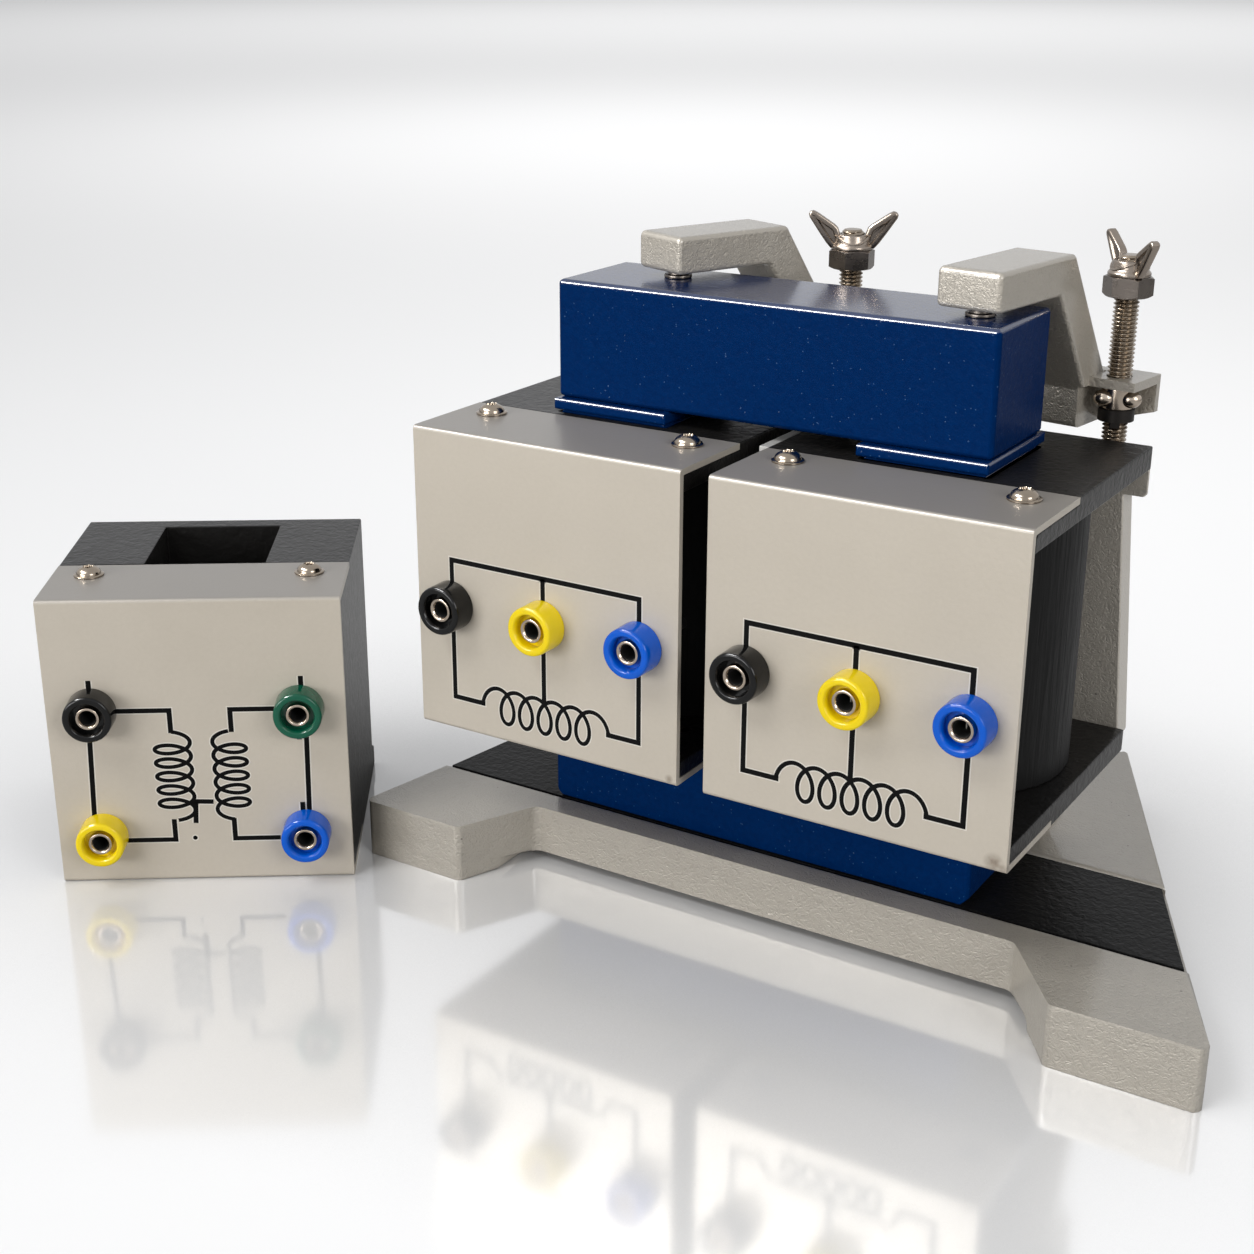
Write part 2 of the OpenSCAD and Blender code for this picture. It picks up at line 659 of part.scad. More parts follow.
// Insulated wires from the solder pins to the winding.
module leads(side) color([0.10, 0.10, 0.10]) {
    reach = front_of(side) - tube_d / 2 - winding_front - sleeve_back - 0.5;
    at_sockets(side) translate([0, 0, -sleeve_back - 0.5 - reach]) difference() {
        cylinder(d = 3.2, h = reach);
        translate([0, 0, reach - 2.5 - seat]) cylinder(d = 2 + 2 * running, h = 2.5 + overlap);
    }
}

// A pale strip between the two working coils, on the right one.
module coil_spacer() color([0.80, 0.79, 0.75]) {
    x1 = limb_half - coil_w / 2;
    block(x1 - spacer_t, -coil_front + flap_d + 0.5, coil_top - flange_t - 3, x1, coil_rear, coil_top);
}

// ---------------------------------------------------------------- clamps

function stud_x(side) = side == "left" ? left_stud_x : right_stud_x;
function swing_of(side) = side == "left" ? left_swing : right_swing;

module at_stud(side) {
    translate([stud_x(side), stud_y, 0]) children();
}

module stud(side) color([0.72, 0.68, 0.60]) {
    r = stud_d / 2;
    at_stud(side) rotate_extrude() polygon([[0, stud_z], [r - 0.8, stud_z], [r, stud_z + 0.8],
        [r, stud_top - 1], [r - 0.4, stud_top - 0.4], [r - 1.2, stud_top], [0, stud_top]]);
}

// The arm is drawn about its stud, reaching towards -Y.
slot_r = lock_reach + 0.5;    // the slot is open to the front, outwards and below
slot_top = lug_top - lug_wall;
lug_front = 7.5;
lug_back = slot_r + 1.8;
heel_z = lug_top - 3;
press_x = -arm_offset - arm_w / 2;
press_y = -arm_reach + 6;
arm_inner = -(stud_y - stack_d / 2 - 1.2);

module arm(side) color([0.68, 0.67, 0.63]) {
    slope = 0.65;
    bend = arm_inner + 5.5;
    outline = [[-arm_reach, arm_z], [-arm_reach, arm_top], [bend, arm_top],
        [bend + slope * (arm_top - lug_top), lug_top], [lug_back, lug_top], [lug_back, lug_z],
        [-lug_front, lug_z], [-lug_front, heel_z], [arm_inner, arm_z]];
    lug_outline = [[-arm_offset - 2, lug_z], [-arm_offset, lug_z], [lug_side, lug_top - cheek_h],
        [lug_side, lug_top], [-arm_offset - 2, lug_top]];
    at_stud(side) rotate(swing_of(side)) difference() {
        union() {
            side_view(rounded(outline, 1.4, 3), -arm_offset - arm_w, -arm_offset);
            front_view(lug_outline, -lug_front + 2, lug_back);
        }
        cylinder(d = stud_d + 2 * running, h = lug_top + overlap);
        block(-slot_r, -lug_front - overlap, lug_z - overlap, lug_side + overlap, slot_r, slot_top);
        translate([press_x, press_y, arm_z - overlap]) cylinder(d = press_d + 2 * running, h = 6 + overlap);
    }
}

module pressure_screw(side) color([0.72, 0.68, 0.60]) {
    foot_h = arm_lift * 0.45;
    at_stud(side) rotate(swing_of(side)) translate([press_x, press_y, yoke_top + seat]) {
        cylinder(d = press_foot_d, h = foot_h);
        cylinder(d = press_d, h = arm_lift + 5.7);
    }
}

// A hexagon nut with its corners turned off.
module hex_nut(side) color([0.62, 0.60, 0.56]) {
    corner_r = hex_af / 2 / cos(30);
    chamfer = corner_r - hex_af / 2;
    at_stud(side) translate([0, 0, hex_z]) difference() {
        intersection() {
            rotate(side == "left" ? 12 : -18) cylinder(r = corner_r, h = hex_h, $fn = 6);
            rotate_extrude() polygon([[0, 0], [hex_af / 2, 0], [corner_r, chamfer],
                [corner_r, hex_h - chamfer], [hex_af / 2, hex_h], [0, hex_h]]);
        }
        translate([0, 0, -overlap]) cylinder(d = stud_d + 2 * running, h = hex_h + 2 * overlap);
    }
}

// One wing, drawn in X and Z from the hub outwards.
wing_outline = [[2.5, 0.1], [5.5, 0.1], [8.2, 3.7], [wing_reach - 0.2, 7.8], [wing_reach, 8.6],
    [wing_reach - 0.6, 9.3], [wing_reach - 1.5, 9.4], [4.4, 6], [3.6, 5.4], [3.2, 4], [2.5, 3.4]];

module wing_nut(side) color([0.72, 0.68, 0.60]) {
    at_stud(side) translate([0, 0, hub_z + seat]) difference() {
        union() {
            rotate_extrude() polygon([[0, 0], [5, 0], [5, 0.7], [4.3, 1.5], [4, hub_h - 0.4],
                [3.7, hub_h], [0, hub_h]]);
            for (turn = [0, 180]) rotate((side == "left" ? left_wing_turn : right_wing_turn) + turn)
                front_view(wing_outline, -wing_t / 2, wing_t / 2);
        }
        translate([0, 0, -overlap]) cylinder(d = stud_d + 2 * running, h = stud_end + 3 * overlap);
    }
}

// The small wing nut that grips the stud inside the lug, and the collar under it.
// Both stay clear of the lug as they turn.
lock_z = slot_top - 0.25 - lock_h;

lock_turn = 25;
lobe_half = 2.6;      // half the length of a lobe
lobe_r = 2.1;
lobe_y = -2.2;        // the lobes stand in front of the stud's axis

// An egg-shaped lobe that lies along X.
module lobe() {
    rotate([0, 90, 0]) rotate_extrude()
        polygon([for (i = [-6:6]) [lobe_r * cos(15 * i), lobe_half * sin(15 * i)]]);
}

module lock_nut(side) color([0.74, 0.70, 0.63]) {
    hub_r = stud_d / 2 + 0.9;
    at_stud(side) rotate(swing_of(side) + lock_turn) translate([0, 0, lock_z + seat]) difference() {
        union() {
            rotate_extrude() polygon([[0, 0], [hub_r, 0], [hub_r, lock_h - 0.5],
                [hub_r - 0.3, lock_h], [0, lock_h]]);
            for (s = [-1, 1]) translate([s * (lock_reach - lobe_half - 0.4), lobe_y, lock_h / 2]) lobe();
        }
        translate([0, 0, -overlap]) cylinder(d = stud_d + 2 * running, h = lock_h + 2 * overlap);
    }
}

// The collar carries a small tab at its front.
module lock_collar(side) color([0.13, 0.12, 0.12]) {
    tab_w = 2.2;
    tab_h = 1.3;
    tab_y = -stud_d / 2 - 1;
    at_stud(side) rotate(swing_of(side) + lock_turn) translate([0, 0, lock_z - collar_h]) difference() {
        union() {
            cylinder(d = stud_d + 2.6, h = collar_h);
            block(-tab_w / 2, tab_y, -tab_h, tab_w / 2, tab_y + 1.5, overlap);
        }
        translate([0, 0, -2 * overlap])
            cylinder(d = stud_d + 2 * running, h = collar_h + 3 * overlap);
    }
}

// ---------------------------------------------------------------- every node

black = [0.05, 0.05, 0.05];
yellow = [0.95, 0.82, 0.05];
blue = [0.03, 0.25, 0.85];
green = [0.02, 0.30, 0.15];

base_casting();
base_strip();
u_core();
core_bolts();
back_plate();
plate_screws();
yoke();
pole_pad(-limb_half);  // left_pole_pad
pole_pad(limb_half);  // right_pole_pad
coil_spacer();
for (side = ["left", "right", "spare"]) {
    former(side);
    winding(side);
    panel(side);
    flap_screws(side);
    socket_head(side, "black", black);
    socket_head(side, "yellow", yellow);
    socket_head(side, "blue", blue);
    sleeves(side);
    socket_nuts(side);
    leads(side);
}
socket_head("spare", "green", green);  // spare_socket_green
for (side = ["left", "right"]) {
    stud(side);
    arm(side);
    pressure_screw(side);
    hex_nut(side);
    wing_nut(side);
    lock_nut(side);
    lock_collar(side);
}
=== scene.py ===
# %% [markdown]
# # A dissectible transformer, dressed
#
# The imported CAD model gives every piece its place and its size. This lesson
# gives each piece its looks: soft edges, enamel, printed lines, threads and
# plated metal. Lengths are in metres, and `MM` turns millimetres into metres.

# %% Load the frame
import json
import math

import bmesh
import bpy
from mathutils import Matrix, Vector


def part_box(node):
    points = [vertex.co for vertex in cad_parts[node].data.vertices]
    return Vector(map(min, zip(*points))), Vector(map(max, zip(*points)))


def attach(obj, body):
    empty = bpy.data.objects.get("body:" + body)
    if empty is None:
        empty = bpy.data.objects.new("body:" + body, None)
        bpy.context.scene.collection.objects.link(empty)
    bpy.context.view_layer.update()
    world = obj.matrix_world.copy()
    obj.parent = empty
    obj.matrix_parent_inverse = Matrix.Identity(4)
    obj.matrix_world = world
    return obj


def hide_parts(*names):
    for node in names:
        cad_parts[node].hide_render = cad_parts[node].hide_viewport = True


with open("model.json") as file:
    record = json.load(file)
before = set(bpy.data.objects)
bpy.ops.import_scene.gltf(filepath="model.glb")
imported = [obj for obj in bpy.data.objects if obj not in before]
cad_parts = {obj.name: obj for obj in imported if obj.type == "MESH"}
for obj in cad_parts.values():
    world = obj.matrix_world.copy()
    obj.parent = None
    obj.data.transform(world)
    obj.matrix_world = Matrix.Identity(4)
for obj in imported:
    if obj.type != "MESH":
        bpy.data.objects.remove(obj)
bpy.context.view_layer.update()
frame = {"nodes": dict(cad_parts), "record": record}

MM = 0.001
nodes = frame["nodes"]
body_of_node = {n: body for body, group in frame["record"]["behaviour"]["bodies"].items()
                for n in group}

# %% [markdown]
# ## The camera
#
# The camera stands to the right of the apparatus and looks down on it. Its
# axes are worked out from two angles, because a turn about Z and then a tilt
# is how a person aims a camera on a tripod, and then a small roll is added.

# %% Camera
EYE = (0.1999, -0.3944, 0.2335)
turn, tilt, roll = map(math.radians, (31.98, 20.44, 0.18))
ahead = Vector((-math.sin(turn) * math.cos(tilt), math.cos(turn) * math.cos(tilt),
                -math.sin(tilt)))
right = Vector((math.cos(turn), math.sin(turn), 0))
up = right.cross(ahead)
right, up = (right * math.cos(roll) + up * math.sin(roll),
             up * math.cos(roll) - right * math.sin(roll))
camera = bpy.data.objects.new("camera", bpy.data.cameras.new("camera"))
camera.data.sensor_width = 36
camera.data.lens = 54
camera.data.clip_start = 0.01
camera.matrix_world = Matrix((*zip(right, up, -ahead, EYE), (0, 0, 0, 1)))
bpy.context.scene.collection.objects.link(camera)
bpy.context.scene.camera = camera
print("camera looks along", [round(v, 3) for v in ahead])

# %% [markdown]
# ## Node trees as sums
#
# Materials and Geometry Nodes are both trees of small machines joined by
# wires. `Wire` wraps one output so that `1 - mask * 0.3` adds the Math nodes
# by itself. `Tree` has one method that makes any other node: it takes the
# node's type, its settings, and what goes into its sockets.

# %% Wires and trees
def sum_of(operation, flipped=False):
    """A method of Wire that adds one Math node."""
    def method(self, *others):
        values = (*others, self) if flipped else (self, *others)
        node = self.tree.node("ShaderNodeMath", {"operation": operation}, dict(enumerate(values)))
        return Wire(self.tree, node.outputs[0])
    return method


class Wire:
    """One output of a node, which can be used in a sum."""

    def __init__(self, tree, socket):
        self.tree, self.socket = tree, socket

    __add__, __radd__ = sum_of("ADD"), sum_of("ADD", True)
    __sub__, __rsub__ = sum_of("SUBTRACT"), sum_of("SUBTRACT", True)
    __mul__, __rmul__ = sum_of("MULTIPLY"), sum_of("MULTIPLY", True)
    __pow__, __rpow__ = sum_of("POWER"), sum_of("POWER", True)
    __truediv__ = sum_of("DIVIDE")
    __gt__, __lt__ = sum_of("GREATER_THAN"), sum_of("LESS_THAN")
    low, high = sum_of("MINIMUM"), sum_of("MAXIMUM")
    size, part = sum_of("ABSOLUTE"), sum_of("FRACT")
    sine, cosine = sum_of("SINE"), sum_of("COSINE")


class Tree:
    """A node tree, of a material or of Geometry Nodes."""

    def __init__(self, tree):
        self.tree = tree

    def node(self, kind, settings=None, sockets=None):
        """Adds a node, with its settings and what goes into its sockets."""
        node = self.tree.nodes.new(kind)
        for name, value in (settings or {}).items():
            setattr(node, name, value)
        for name, value in (sockets or {}).items():
            self.plug(node.inputs[name], value)
        return node

    def plug(self, socket, value):
        """Sets a socket to a plain value, or links a wire to it."""
        if isinstance(value, Wire):
            self.tree.links.new(value.socket, socket)
        else:
            socket.default_value = value

    def wire(self, kind, settings=None, sockets=None, out=0):
        """Adds a node and gives back one of its outputs, ready for sums."""
        return Wire(self, self.node(kind, settings, sockets).outputs[out])


# %% [markdown]
# ## Finishes
#
# A finish is a material built from Object coordinates. Every piece stands at
# the origin with its place in its mesh, so Object coordinates are simply the
# apparatus's own metres, and a pattern never slides when a piece moves. Noise
# scales are given per millimetre, which keeps them easy to picture.

# %% The finish maker
class Finish(Tree):
    """A material whose patterns are measured in millimetres."""

    def __init__(self, name):
        self.material = bpy.data.materials.new(name)
        self.material.use_nodes = True
        super().__init__(self.material.node_tree)
        self.tree.nodes.clear()
        self.place = self.wire("ShaderNodeTexCoord", out="Object")

    def stretched(self, x, y, z):
        """Object coordinates, with a scale per millimetre along each axis."""
        return self.wire("ShaderNodeMapping", {}, {
            "Vector": self.place, "Scale": (x / MM, y / MM, z / MM)})

    def noise(self, per_mm, detail=2.0, distortion=0.0, place=None):
        """Smooth random grey from 0 to 1, with per_mm grains in a millimetre."""
        return self.wire("ShaderNodeTexNoise", {}, {
            "Vector": place or self.place, "Scale": 1.0 if place else per_mm / MM,
            "Detail": detail, "Roughness": 0.5, "Distortion": distortion})

    def specks(self, per_mm, size, share):
        """1 on small round specks, in that share of the cells of a grid."""
        cells = self.node("ShaderNodeTexVoronoi", {}, {
            "Vector": self.place, "Scale": per_mm / MM, "Randomness": 1.0})
        near = Wire(self, cells.outputs["Distance"]) < size
        pick = self.wire("ShaderNodeSeparateColor", {},
                         {0: Wire(self, cells.outputs["Color"])}) < share
        return near * pick

    def ridges(self, per_mm, bend):
        """1 along a net of thin ridges, falling to 0 between them."""
        return 1 - ((self.noise(per_mm, 2.0, bend) - 0.5) * 5).size().low(1)

    def facing_up(self):
        """1 on level upper faces, 0 on upright ones, below 0 underneath."""
        faced = self.wire("ShaderNodeTexCoord", out="Normal")
        return self.wire("ShaderNodeSeparateXYZ", {}, {0: faced}, "Z")

    def brim(self):
        """1 in the middle of a rounded upper edge, 0 on the faces beside it."""
        faced = self.facing_up().high(0)
        return (faced * (1 - faced) * 4).low(1)

    def spot(self, centre_mm, radius_mm):
        """1 at a place, falling to 0 at radius_mm from it."""
        far = self.wire("ShaderNodeVectorMath", {"operation": "DISTANCE"}, {
            0: self.place, 1: tuple(c * MM for c in centre_mm)}, "Value")
        return (1 - far / (radius_mm * MM)).high(0)

    def blend(self, factor, first, second):
        """A colour between two, by factor."""
        node = self.node("ShaderNodeMix", {"data_type": "RGBA"}, {0: factor})
        for socket, value in ((node.inputs[6], first), (node.inputs[7], second)):
            self.plug(socket, value if isinstance(value, Wire) else (*value, 1))
        return Wire(self, node.outputs[2])

    def bump(self, height, depth_mm):
        """A bumped normal, where a height of 1 stands depth_mm out."""
        return self.wire("ShaderNodeBump", {}, {
            "Height": height, "Distance": depth_mm * MM, "Strength": 1.0})

    def done(self, colour, normal, roughness, metallic=0.0, shine=0.5, coat=0.0,
             coat_bend=1.5, coat_rough=0.03):
        """Ends the material in a Principled shader."""
        shader = self.wire("ShaderNodeBsdfPrincipled", {}, {
            "Base Color": colour, "Normal": normal, "Roughness": roughness,
            "Metallic": metallic, "Specular IOR Level": shine, "Coat Weight": coat,
            "Coat IOR": coat_bend, "Coat Roughness": coat_rough})
        self.node("ShaderNodeOutputMaterial", {}, {"Surface": shader})
        return self.material


# %% [markdown]
# ## Grey casting enamel
#
# The base, the plate and the two clamp arms are castings with a thick silver
# grey enamel. It shrinks into fine wrinkles as it dries. A wrinkle is a ridge
# where a bent noise passes its middle value, so the distance from that value
# gives a net of thin worm-like ridges, with a broader swell under them. Wet
# enamel draws smooth over an edge, so the wrinkles fade out on the brims. They
# are counted from their middle height, so nothing sinks in where they fade.

# %% Casting enamel
def casting_enamel(name, colour, wrinkle_mm):
    f = Finish(name)
    swell = f.noise(0.16, 1.0)
    ridge = f.ridges(0.8, 0.8)
    fine = f.noise(2.4, 2.0, 0.5)
    pit = f.specks(0.16, 0.045, 0.35)
    light = tuple(min(1, c * 1.06) for c in colour)
    dark = tuple(c * 0.92 for c in colour)
    tone = f.blend(swell * 0.5 + fine * 0.3 + ridge * 0.2, dark, light)
    tone = f.blend(pit * 0.7, tone, (0.12, 0.11, 0.10))
    height = (ridge * 0.6 + fine * 0.6 + swell * 1.6 - pit * 0.5 - 1.4) * (1 - 0.85 * f.brim())
    return f.done(tone, f.bump(height, wrinkle_mm), 0.38 + fine * 0.14, metallic=0.2,
                  shine=0.3, coat=0.7, coat_bend=1.8, coat_rough=0.14)


base_enamel = casting_enamel("base_enamel", (0.44, 0.405, 0.348), 0.20)
plate_enamel = casting_enamel("plate_enamel", (0.62, 0.573, 0.50), 0.12)
arm_enamel = casting_enamel("arm_enamel", (0.47, 0.43, 0.366), 0.22)
print("casting enamels made")

# %% [markdown]
# ## Blue core enamel
#
# The iron is dipped in a deep blue enamel. It has the shallow waves called
# orange peel, and small light specks in its colour: some are dust settled in
# it, and some are painted glints of light on the peel. Its own shine is set
# low, because a strong one lays a grey veil over so dark a blue. The edges
# and upper faces are handled most, so a clear polish grows there: its weight
# follows how far the surface faces up, and is strongest on the edges.

# %% Core enamel
def core_enamel():
    f = Finish("core_enamel")
    peel = f.noise(0.75, 2.0, 0.4)
    fine = f.noise(2.6, 1.0)
    # Light specks in the colour: partly dust, partly painted glints of light on the peel.
    dust_and_glints = f.specks(0.9, 0.15, 0.25).high(f.specks(0.4, 0.08, 0.12))
    tone = f.blend(peel, (0.0, 0.015, 0.080), (0.0, 0.024, 0.116))
    tone = f.blend(dust_and_glints * (0.2 + 0.6 * fine), tone, (0.02, 0.11, 0.30))
    height = (peel + fine * 0.3 + dust_and_glints * 0.5 - 0.65) * (1 - 0.8 * f.brim())
    faced = f.facing_up()
    edge = (faced * 2.5 - 0.5).high(0).low(1) * (4.85 - 4 * faced).high(0.3).low(1)
    return f.done(tone, f.bump(height, 0.12), 0.26 + fine * 0.10, shine=0.02,
                  coat=edge.high(dust_and_glints * 0.5), coat_bend=1.8, coat_rough=0.16)


core_blue = core_enamel()

# %% [markdown]
# ## Panel paint
#
# The folded panels are sheet steel with a warm light grey satin paint, baked
# on. It is smooth enough to mirror the screws, and its tone drifts a little.
# The flaps on top are painted a darker, cooler grey: painted shade, with a
# painted bluish reflection of the blue yoke in it.
# At two lower corners the weld that closes the fold shows as a brown mark.

# %% Panel paint
WELD_MARKS = ((75.6, -46.3, 45.2, 2.6), (77.9, -45.8, 44.2, 1.4), (-5.6, -46.3, 44.6, 1.3))


def panel_paint():
    f = Finish("panel_paint")
    drift = f.noise(0.045, 2.0)
    orange = f.noise(0.95, 3.0, 0.4)
    fine = f.noise(6.0, 1.0)
    mark = f.specks(0.1, 0.03, 0.25)
    tone = f.blend(drift * 0.6 + orange * 0.4, (0.505, 0.456, 0.382), (0.595, 0.54, 0.458))
    tone = f.blend(mark * 0.6, tone, (0.22, 0.19, 0.16))
    # Painted shade and a painted bluish reflection on the faces that look up.
    tone = f.blend(f.facing_up().high(0) * 0.4, tone, (0.19, 0.20, 0.235))
    for x, y, z, radius in WELD_MARKS:
        tone = f.blend(f.spot((x, y, z), radius) * (0.25 + f.noise(0.9, 2.0)), tone,
                       (0.16, 0.11, 0.075))
    return f.done(tone, f.bump(orange * 0.8 + fine * 0.2, 0.05), 0.32 + orange * 0.08,
                  metallic=0.1, shine=0.3, coat=0.15, coat_rough=0.12)


panel_grey = panel_paint()

# %% [markdown]
# ## Black pieces
#
# Five kinds of black meet here: the moulded formers with a leathery sheen, the
# tape round the windings with upright ridges, the strip in the base, the
# rubbery leads, and a painted shade that lines the bores to keep them dark.
# Each has its own roughness and grain.

# %% Blacks
def black(name, colour, graFROM_MM, per_mm, roughness, stretch=None, shine=0.3):
    f = Finish(name)
    grain = f.noise(per_mm, 3.0, 0.5, f.stretched(*stretch) if stretch else None)
    broad = f.noise(0.12, 2.0)
    tone = f.blend(broad, colour, tuple(c * 1.5 + 0.002 for c in colour))
    return f.done(tone, f.bump(grain + broad * 0.6, graFROM_MM), roughness + grain * 0.14,
                  shine=shine)


former_black = black("former_black", (0.008, 0.0075, 0.007), 0.22, 0.55, 0.27, shine=0.2)
tape_black = black("tape_black", (0.006,) * 3, 0.42, 1.0, 0.46, (0.75, 0.75, 0.045), 0.14)
strip_black = black("strip_black", (0.005,) * 3, 0.26, 0.6, 0.34, shine=0.1)
lead_black = black("lead_black", (0.02,) * 3, 0.03, 2.0, 0.5)
# Painted shade: the black that lines the socket bores.
edge_black = black("edge_black", (0.010,) * 3, 0.02, 1.5, 0.45)
print("blacks made")

# %% [markdown]
# ## Moulded sockets, ink, board and metal
#
# The socket heads are glossy moulded plastic. The studs, nuts and screws are
# plated, with a warm tint: their colour sits in Base Color and Metallic is 1.

# %% Plastics, ink and metal
def moulded(name, colour, shine=0.4):
    f = Finish(name)
    flow = f.noise(0.35, 2.0)
    fine = f.noise(4.0, 1.0)
    tone = f.blend(flow, tuple(c * 0.94 for c in colour), colour)
    return f.done(tone, f.bump(flow + fine * 0.2, 0.010), 0.11 + fine * 0.05, shine=shine)


def plated(name, colour, roughness, graFROM_MM=0.012):
    f = Finish(name)
    grain = f.noise(2.2, 3.0, 0.3)
    stain = f.noise(0.3, 2.0)
    tone = f.blend(stain, tuple(c * 0.7 for c in colour), colour)
    return f.done(tone, f.bump(grain, graFROM_MM), roughness + stain * 0.12, metallic=1.0)


def plain(name, colour, roughness, shine=0.3):
    f = Finish(name)
    fine = f.noise(3.0, 2.0)
    tone = f.blend(fine, tuple(c * 0.9 for c in colour), colour)
    return f.done(tone, f.bump(fine, 0.01), roughness + fine * 0.1, shine=shine)


head_paint = {
    "black": moulded("head_black", (0.004, 0.004, 0.004), 0.3),
    "yellow": moulded("head_yellow", (0.92, 0.69, 0.002)),
    "blue": moulded("head_blue", (0.0, 0.105, 0.62), 0.3),
    "green": moulded("head_green", (0.0, 0.095, 0.05)),
}
nickel = plated("nickel", (0.55, 0.465, 0.38), 0.14)
screw_nickel = plated("screw_nickel", (0.38, 0.32, 0.255), 0.13)
thread_nickel = plated("thread_nickel", (0.34, 0.285, 0.225), 0.20)
wing_nickel = plated("wing_nickel", (0.34, 0.29, 0.245), 0.20, 0.02)
steel = plated("steel", (0.50, 0.47, 0.43), 0.26)
dark_nickel = plated("dark_nickel", (0.20, 0.175, 0.155), 0.22, 0.03)
dark_steel = plated("dark_steel", (0.035, 0.032, 0.03), 0.40, 0.03)
ink = plain("ink", (0.0015, 0.0015, 0.0015), 0.5, 0.08)
ink_edge = plain("ink_edge", (0.72, 0.68, 0.61), 0.35)
board = plain("board", (0.66, 0.65, 0.62), 0.5)
print("finishes:", len(bpy.data.materials))

# %% [markdown]
# ## Helpers for pieces
#
# A new piece is a mesh at the origin that rides on the body of the node it
# stands for. `stand_in` does that bookkeeping. `softened` copies a CAD node,
# joins its loose triangles into flat faces, and bevels its edges: real
# castings and bent sheets never end in a knife edge, and the thin highlight
# along an edge is what makes a piece look solid. A bevel held back everywhere
# for the sake of one small hole would hardly show, so `roomy` picks the edges
# that have space for it, and a small piece has all its edges bevelled instead.
# The shading normals stored with the old triangles are thrown away, and a
# Weighted Normal modifier then lets the large faces keep their flat shading.

# %% Helpers for pieces
def add_object(name, mesh):
    obj = bpy.data.objects.new(name, mesh)
    bpy.context.scene.collection.objects.link(obj)
    return obj


def painted(mesh, material):
    mesh.materials.clear()
    mesh.materials.append(material)


def smoothed(mesh, degrees):
    """Smooth shading, with the sharper edges left sharp."""
    mesh.shade_smooth()
    mesh.set_sharp_from_angle(angle=math.radians(degrees))


def outward(mesh):
    """Turns the faces of a closed mesh outwards."""
    b = bmesh.new()
    b.from_mesh(mesh)
    bmesh.ops.recalc_face_normals(b, faces=b.faces)
    b.to_mesh(mesh)
    b.free()


def band(b, low, high):
    """Joins two rings of as many points with faces."""
    for k in range(len(low)):
        j = (k + 1) % len(low)
        b.faces.new((low[k], low[j], high[j], high[k]))


def stand_in(obj, node, material):
    """obj replaces the node and rides on its body."""
    painted(obj.data, material)
    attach(obj, body_of_node[node])
    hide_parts(node)
    return obj


def applied(obj):
    """The mesh of obj with its modifiers, which are then removed."""
    bpy.context.view_layer.update()
    mesh = bpy.data.meshes.new_from_object(
        obj.evaluated_get(bpy.context.evaluated_depsgraph_get()))
    obj.modifiers.clear()
    old = obj.data
    obj.data = mesh
    bpy.data.meshes.remove(old)
    return obj


def merged_copy(node, name):
    """A copy of a node with its triangles merged into flat faces."""
    mesh = nodes[node].data.copy()
    if "custom_normal" in mesh.attributes:
        mesh.attributes.remove(mesh.attributes["custom_normal"])
    b = bmesh.new()
    b.from_mesh(mesh)
    bmesh.ops.remove_doubles(b, verts=b.verts, dist=2e-6)
    bmesh.ops.dissolve_limit(b, angle_limit=math.radians(0.7), verts=b.verts, edges=b.edges)
    b.to_mesh(mesh)
    b.free()
    return add_object(name, mesh)


RIM_BEND = (0.03, 0.6)


def roomy(sharp, width_mm, above_mm, rim_mm):
    """The sharp edges that have room for a bevel: no rims of small holes."""
    chosen, known = [], set(sharp)
    for edge in sharp:
        bend = 0.0
        for v in edge.verts:
            here = edge.other_vert(v).co - v.co
            for other in v.link_edges:
                if other is not edge and other in known:
                    turn = here.angle(v.co - other.other_vert(v).co)
                    bend = max(bend, turn if RIM_BEND[0] < turn < RIM_BEND[1] else 0.0)
        long_enough = rim_mm * MM * bend if bend else 2.2 * width_mm * MM
        middle = (edge.verts[0].co.z + edge.verts[1].co.z) / 2
        if edge.calc_length() > long_enough and middle > above_mm * MM:
            chosen.append(edge)
    return chosen


def softened(node, width_mm, material, segments=2, angle=30, shaped=None, above_mm=-1,
             rim_mm=4, small=False):
    """Stands a copy of the node with rounded edges in the node's place."""
    obj = merged_copy(node, node + "_soft")
    if shaped:
        shaped(obj.data)
    b = bmesh.new()
    b.from_mesh(obj.data)
    sharp = [e for e in b.edges if e.calc_face_angle(0) > math.radians(angle)]
    bmesh.ops.bevel(b, geom=sharp if small else roomy(sharp, width_mm, above_mm, rim_mm),
                    offset=width_mm * MM, offset_type="OFFSET", segments=segments, profile=0.5,
                    affect="EDGES", clamp_overlap=small, miter_outer="ARC")
    b.to_mesh(obj.data)
    b.free()
    smoothed(obj.data, 35)
    even = obj.modifiers.new("even", "WEIGHTED_NORMAL")
    even.keep_sharp, even.weight = True, 90
    return stand_in(applied(obj), node, material)


# %% [markdown]
# ## Castings and the core
#
# The base, the plate and the arms have the large soft edges of a sand
# casting. The core, the yoke and the pole pads are ground blocks with small
# bevels under the enamel.

# %% Castings and core
softened("base_casting", 1.1, base_enamel, 3)
softened("back_plate", 0.45, plate_enamel, 3)
for side in ("left", "right"):
    softened(side + "_arm", 1.1, arm_enamel, 3, 35, above_mm=134.3, rim_mm=1.3)
for name in ("u_core", "yoke"):
    softened(name, 0.35, core_blue, 2, 20)
for side in ("left", "right"):
    softened(side + "_pole_pad", 0.3, core_blue, 2, 20)
softened("base_strip", 0.25, strip_black)
softened("coil_spacer", 0.3, board)

# %% [markdown]
# ## Where things are on a coil
#
# A coil's own frame has X along its panel, Z up from its foot, and `out`
# counted from the panel's face towards the viewer. `coil_frame` turns such a
# place into the apparatus's metres as a matrix, so that a turned part can be
# made upright and then put in place.

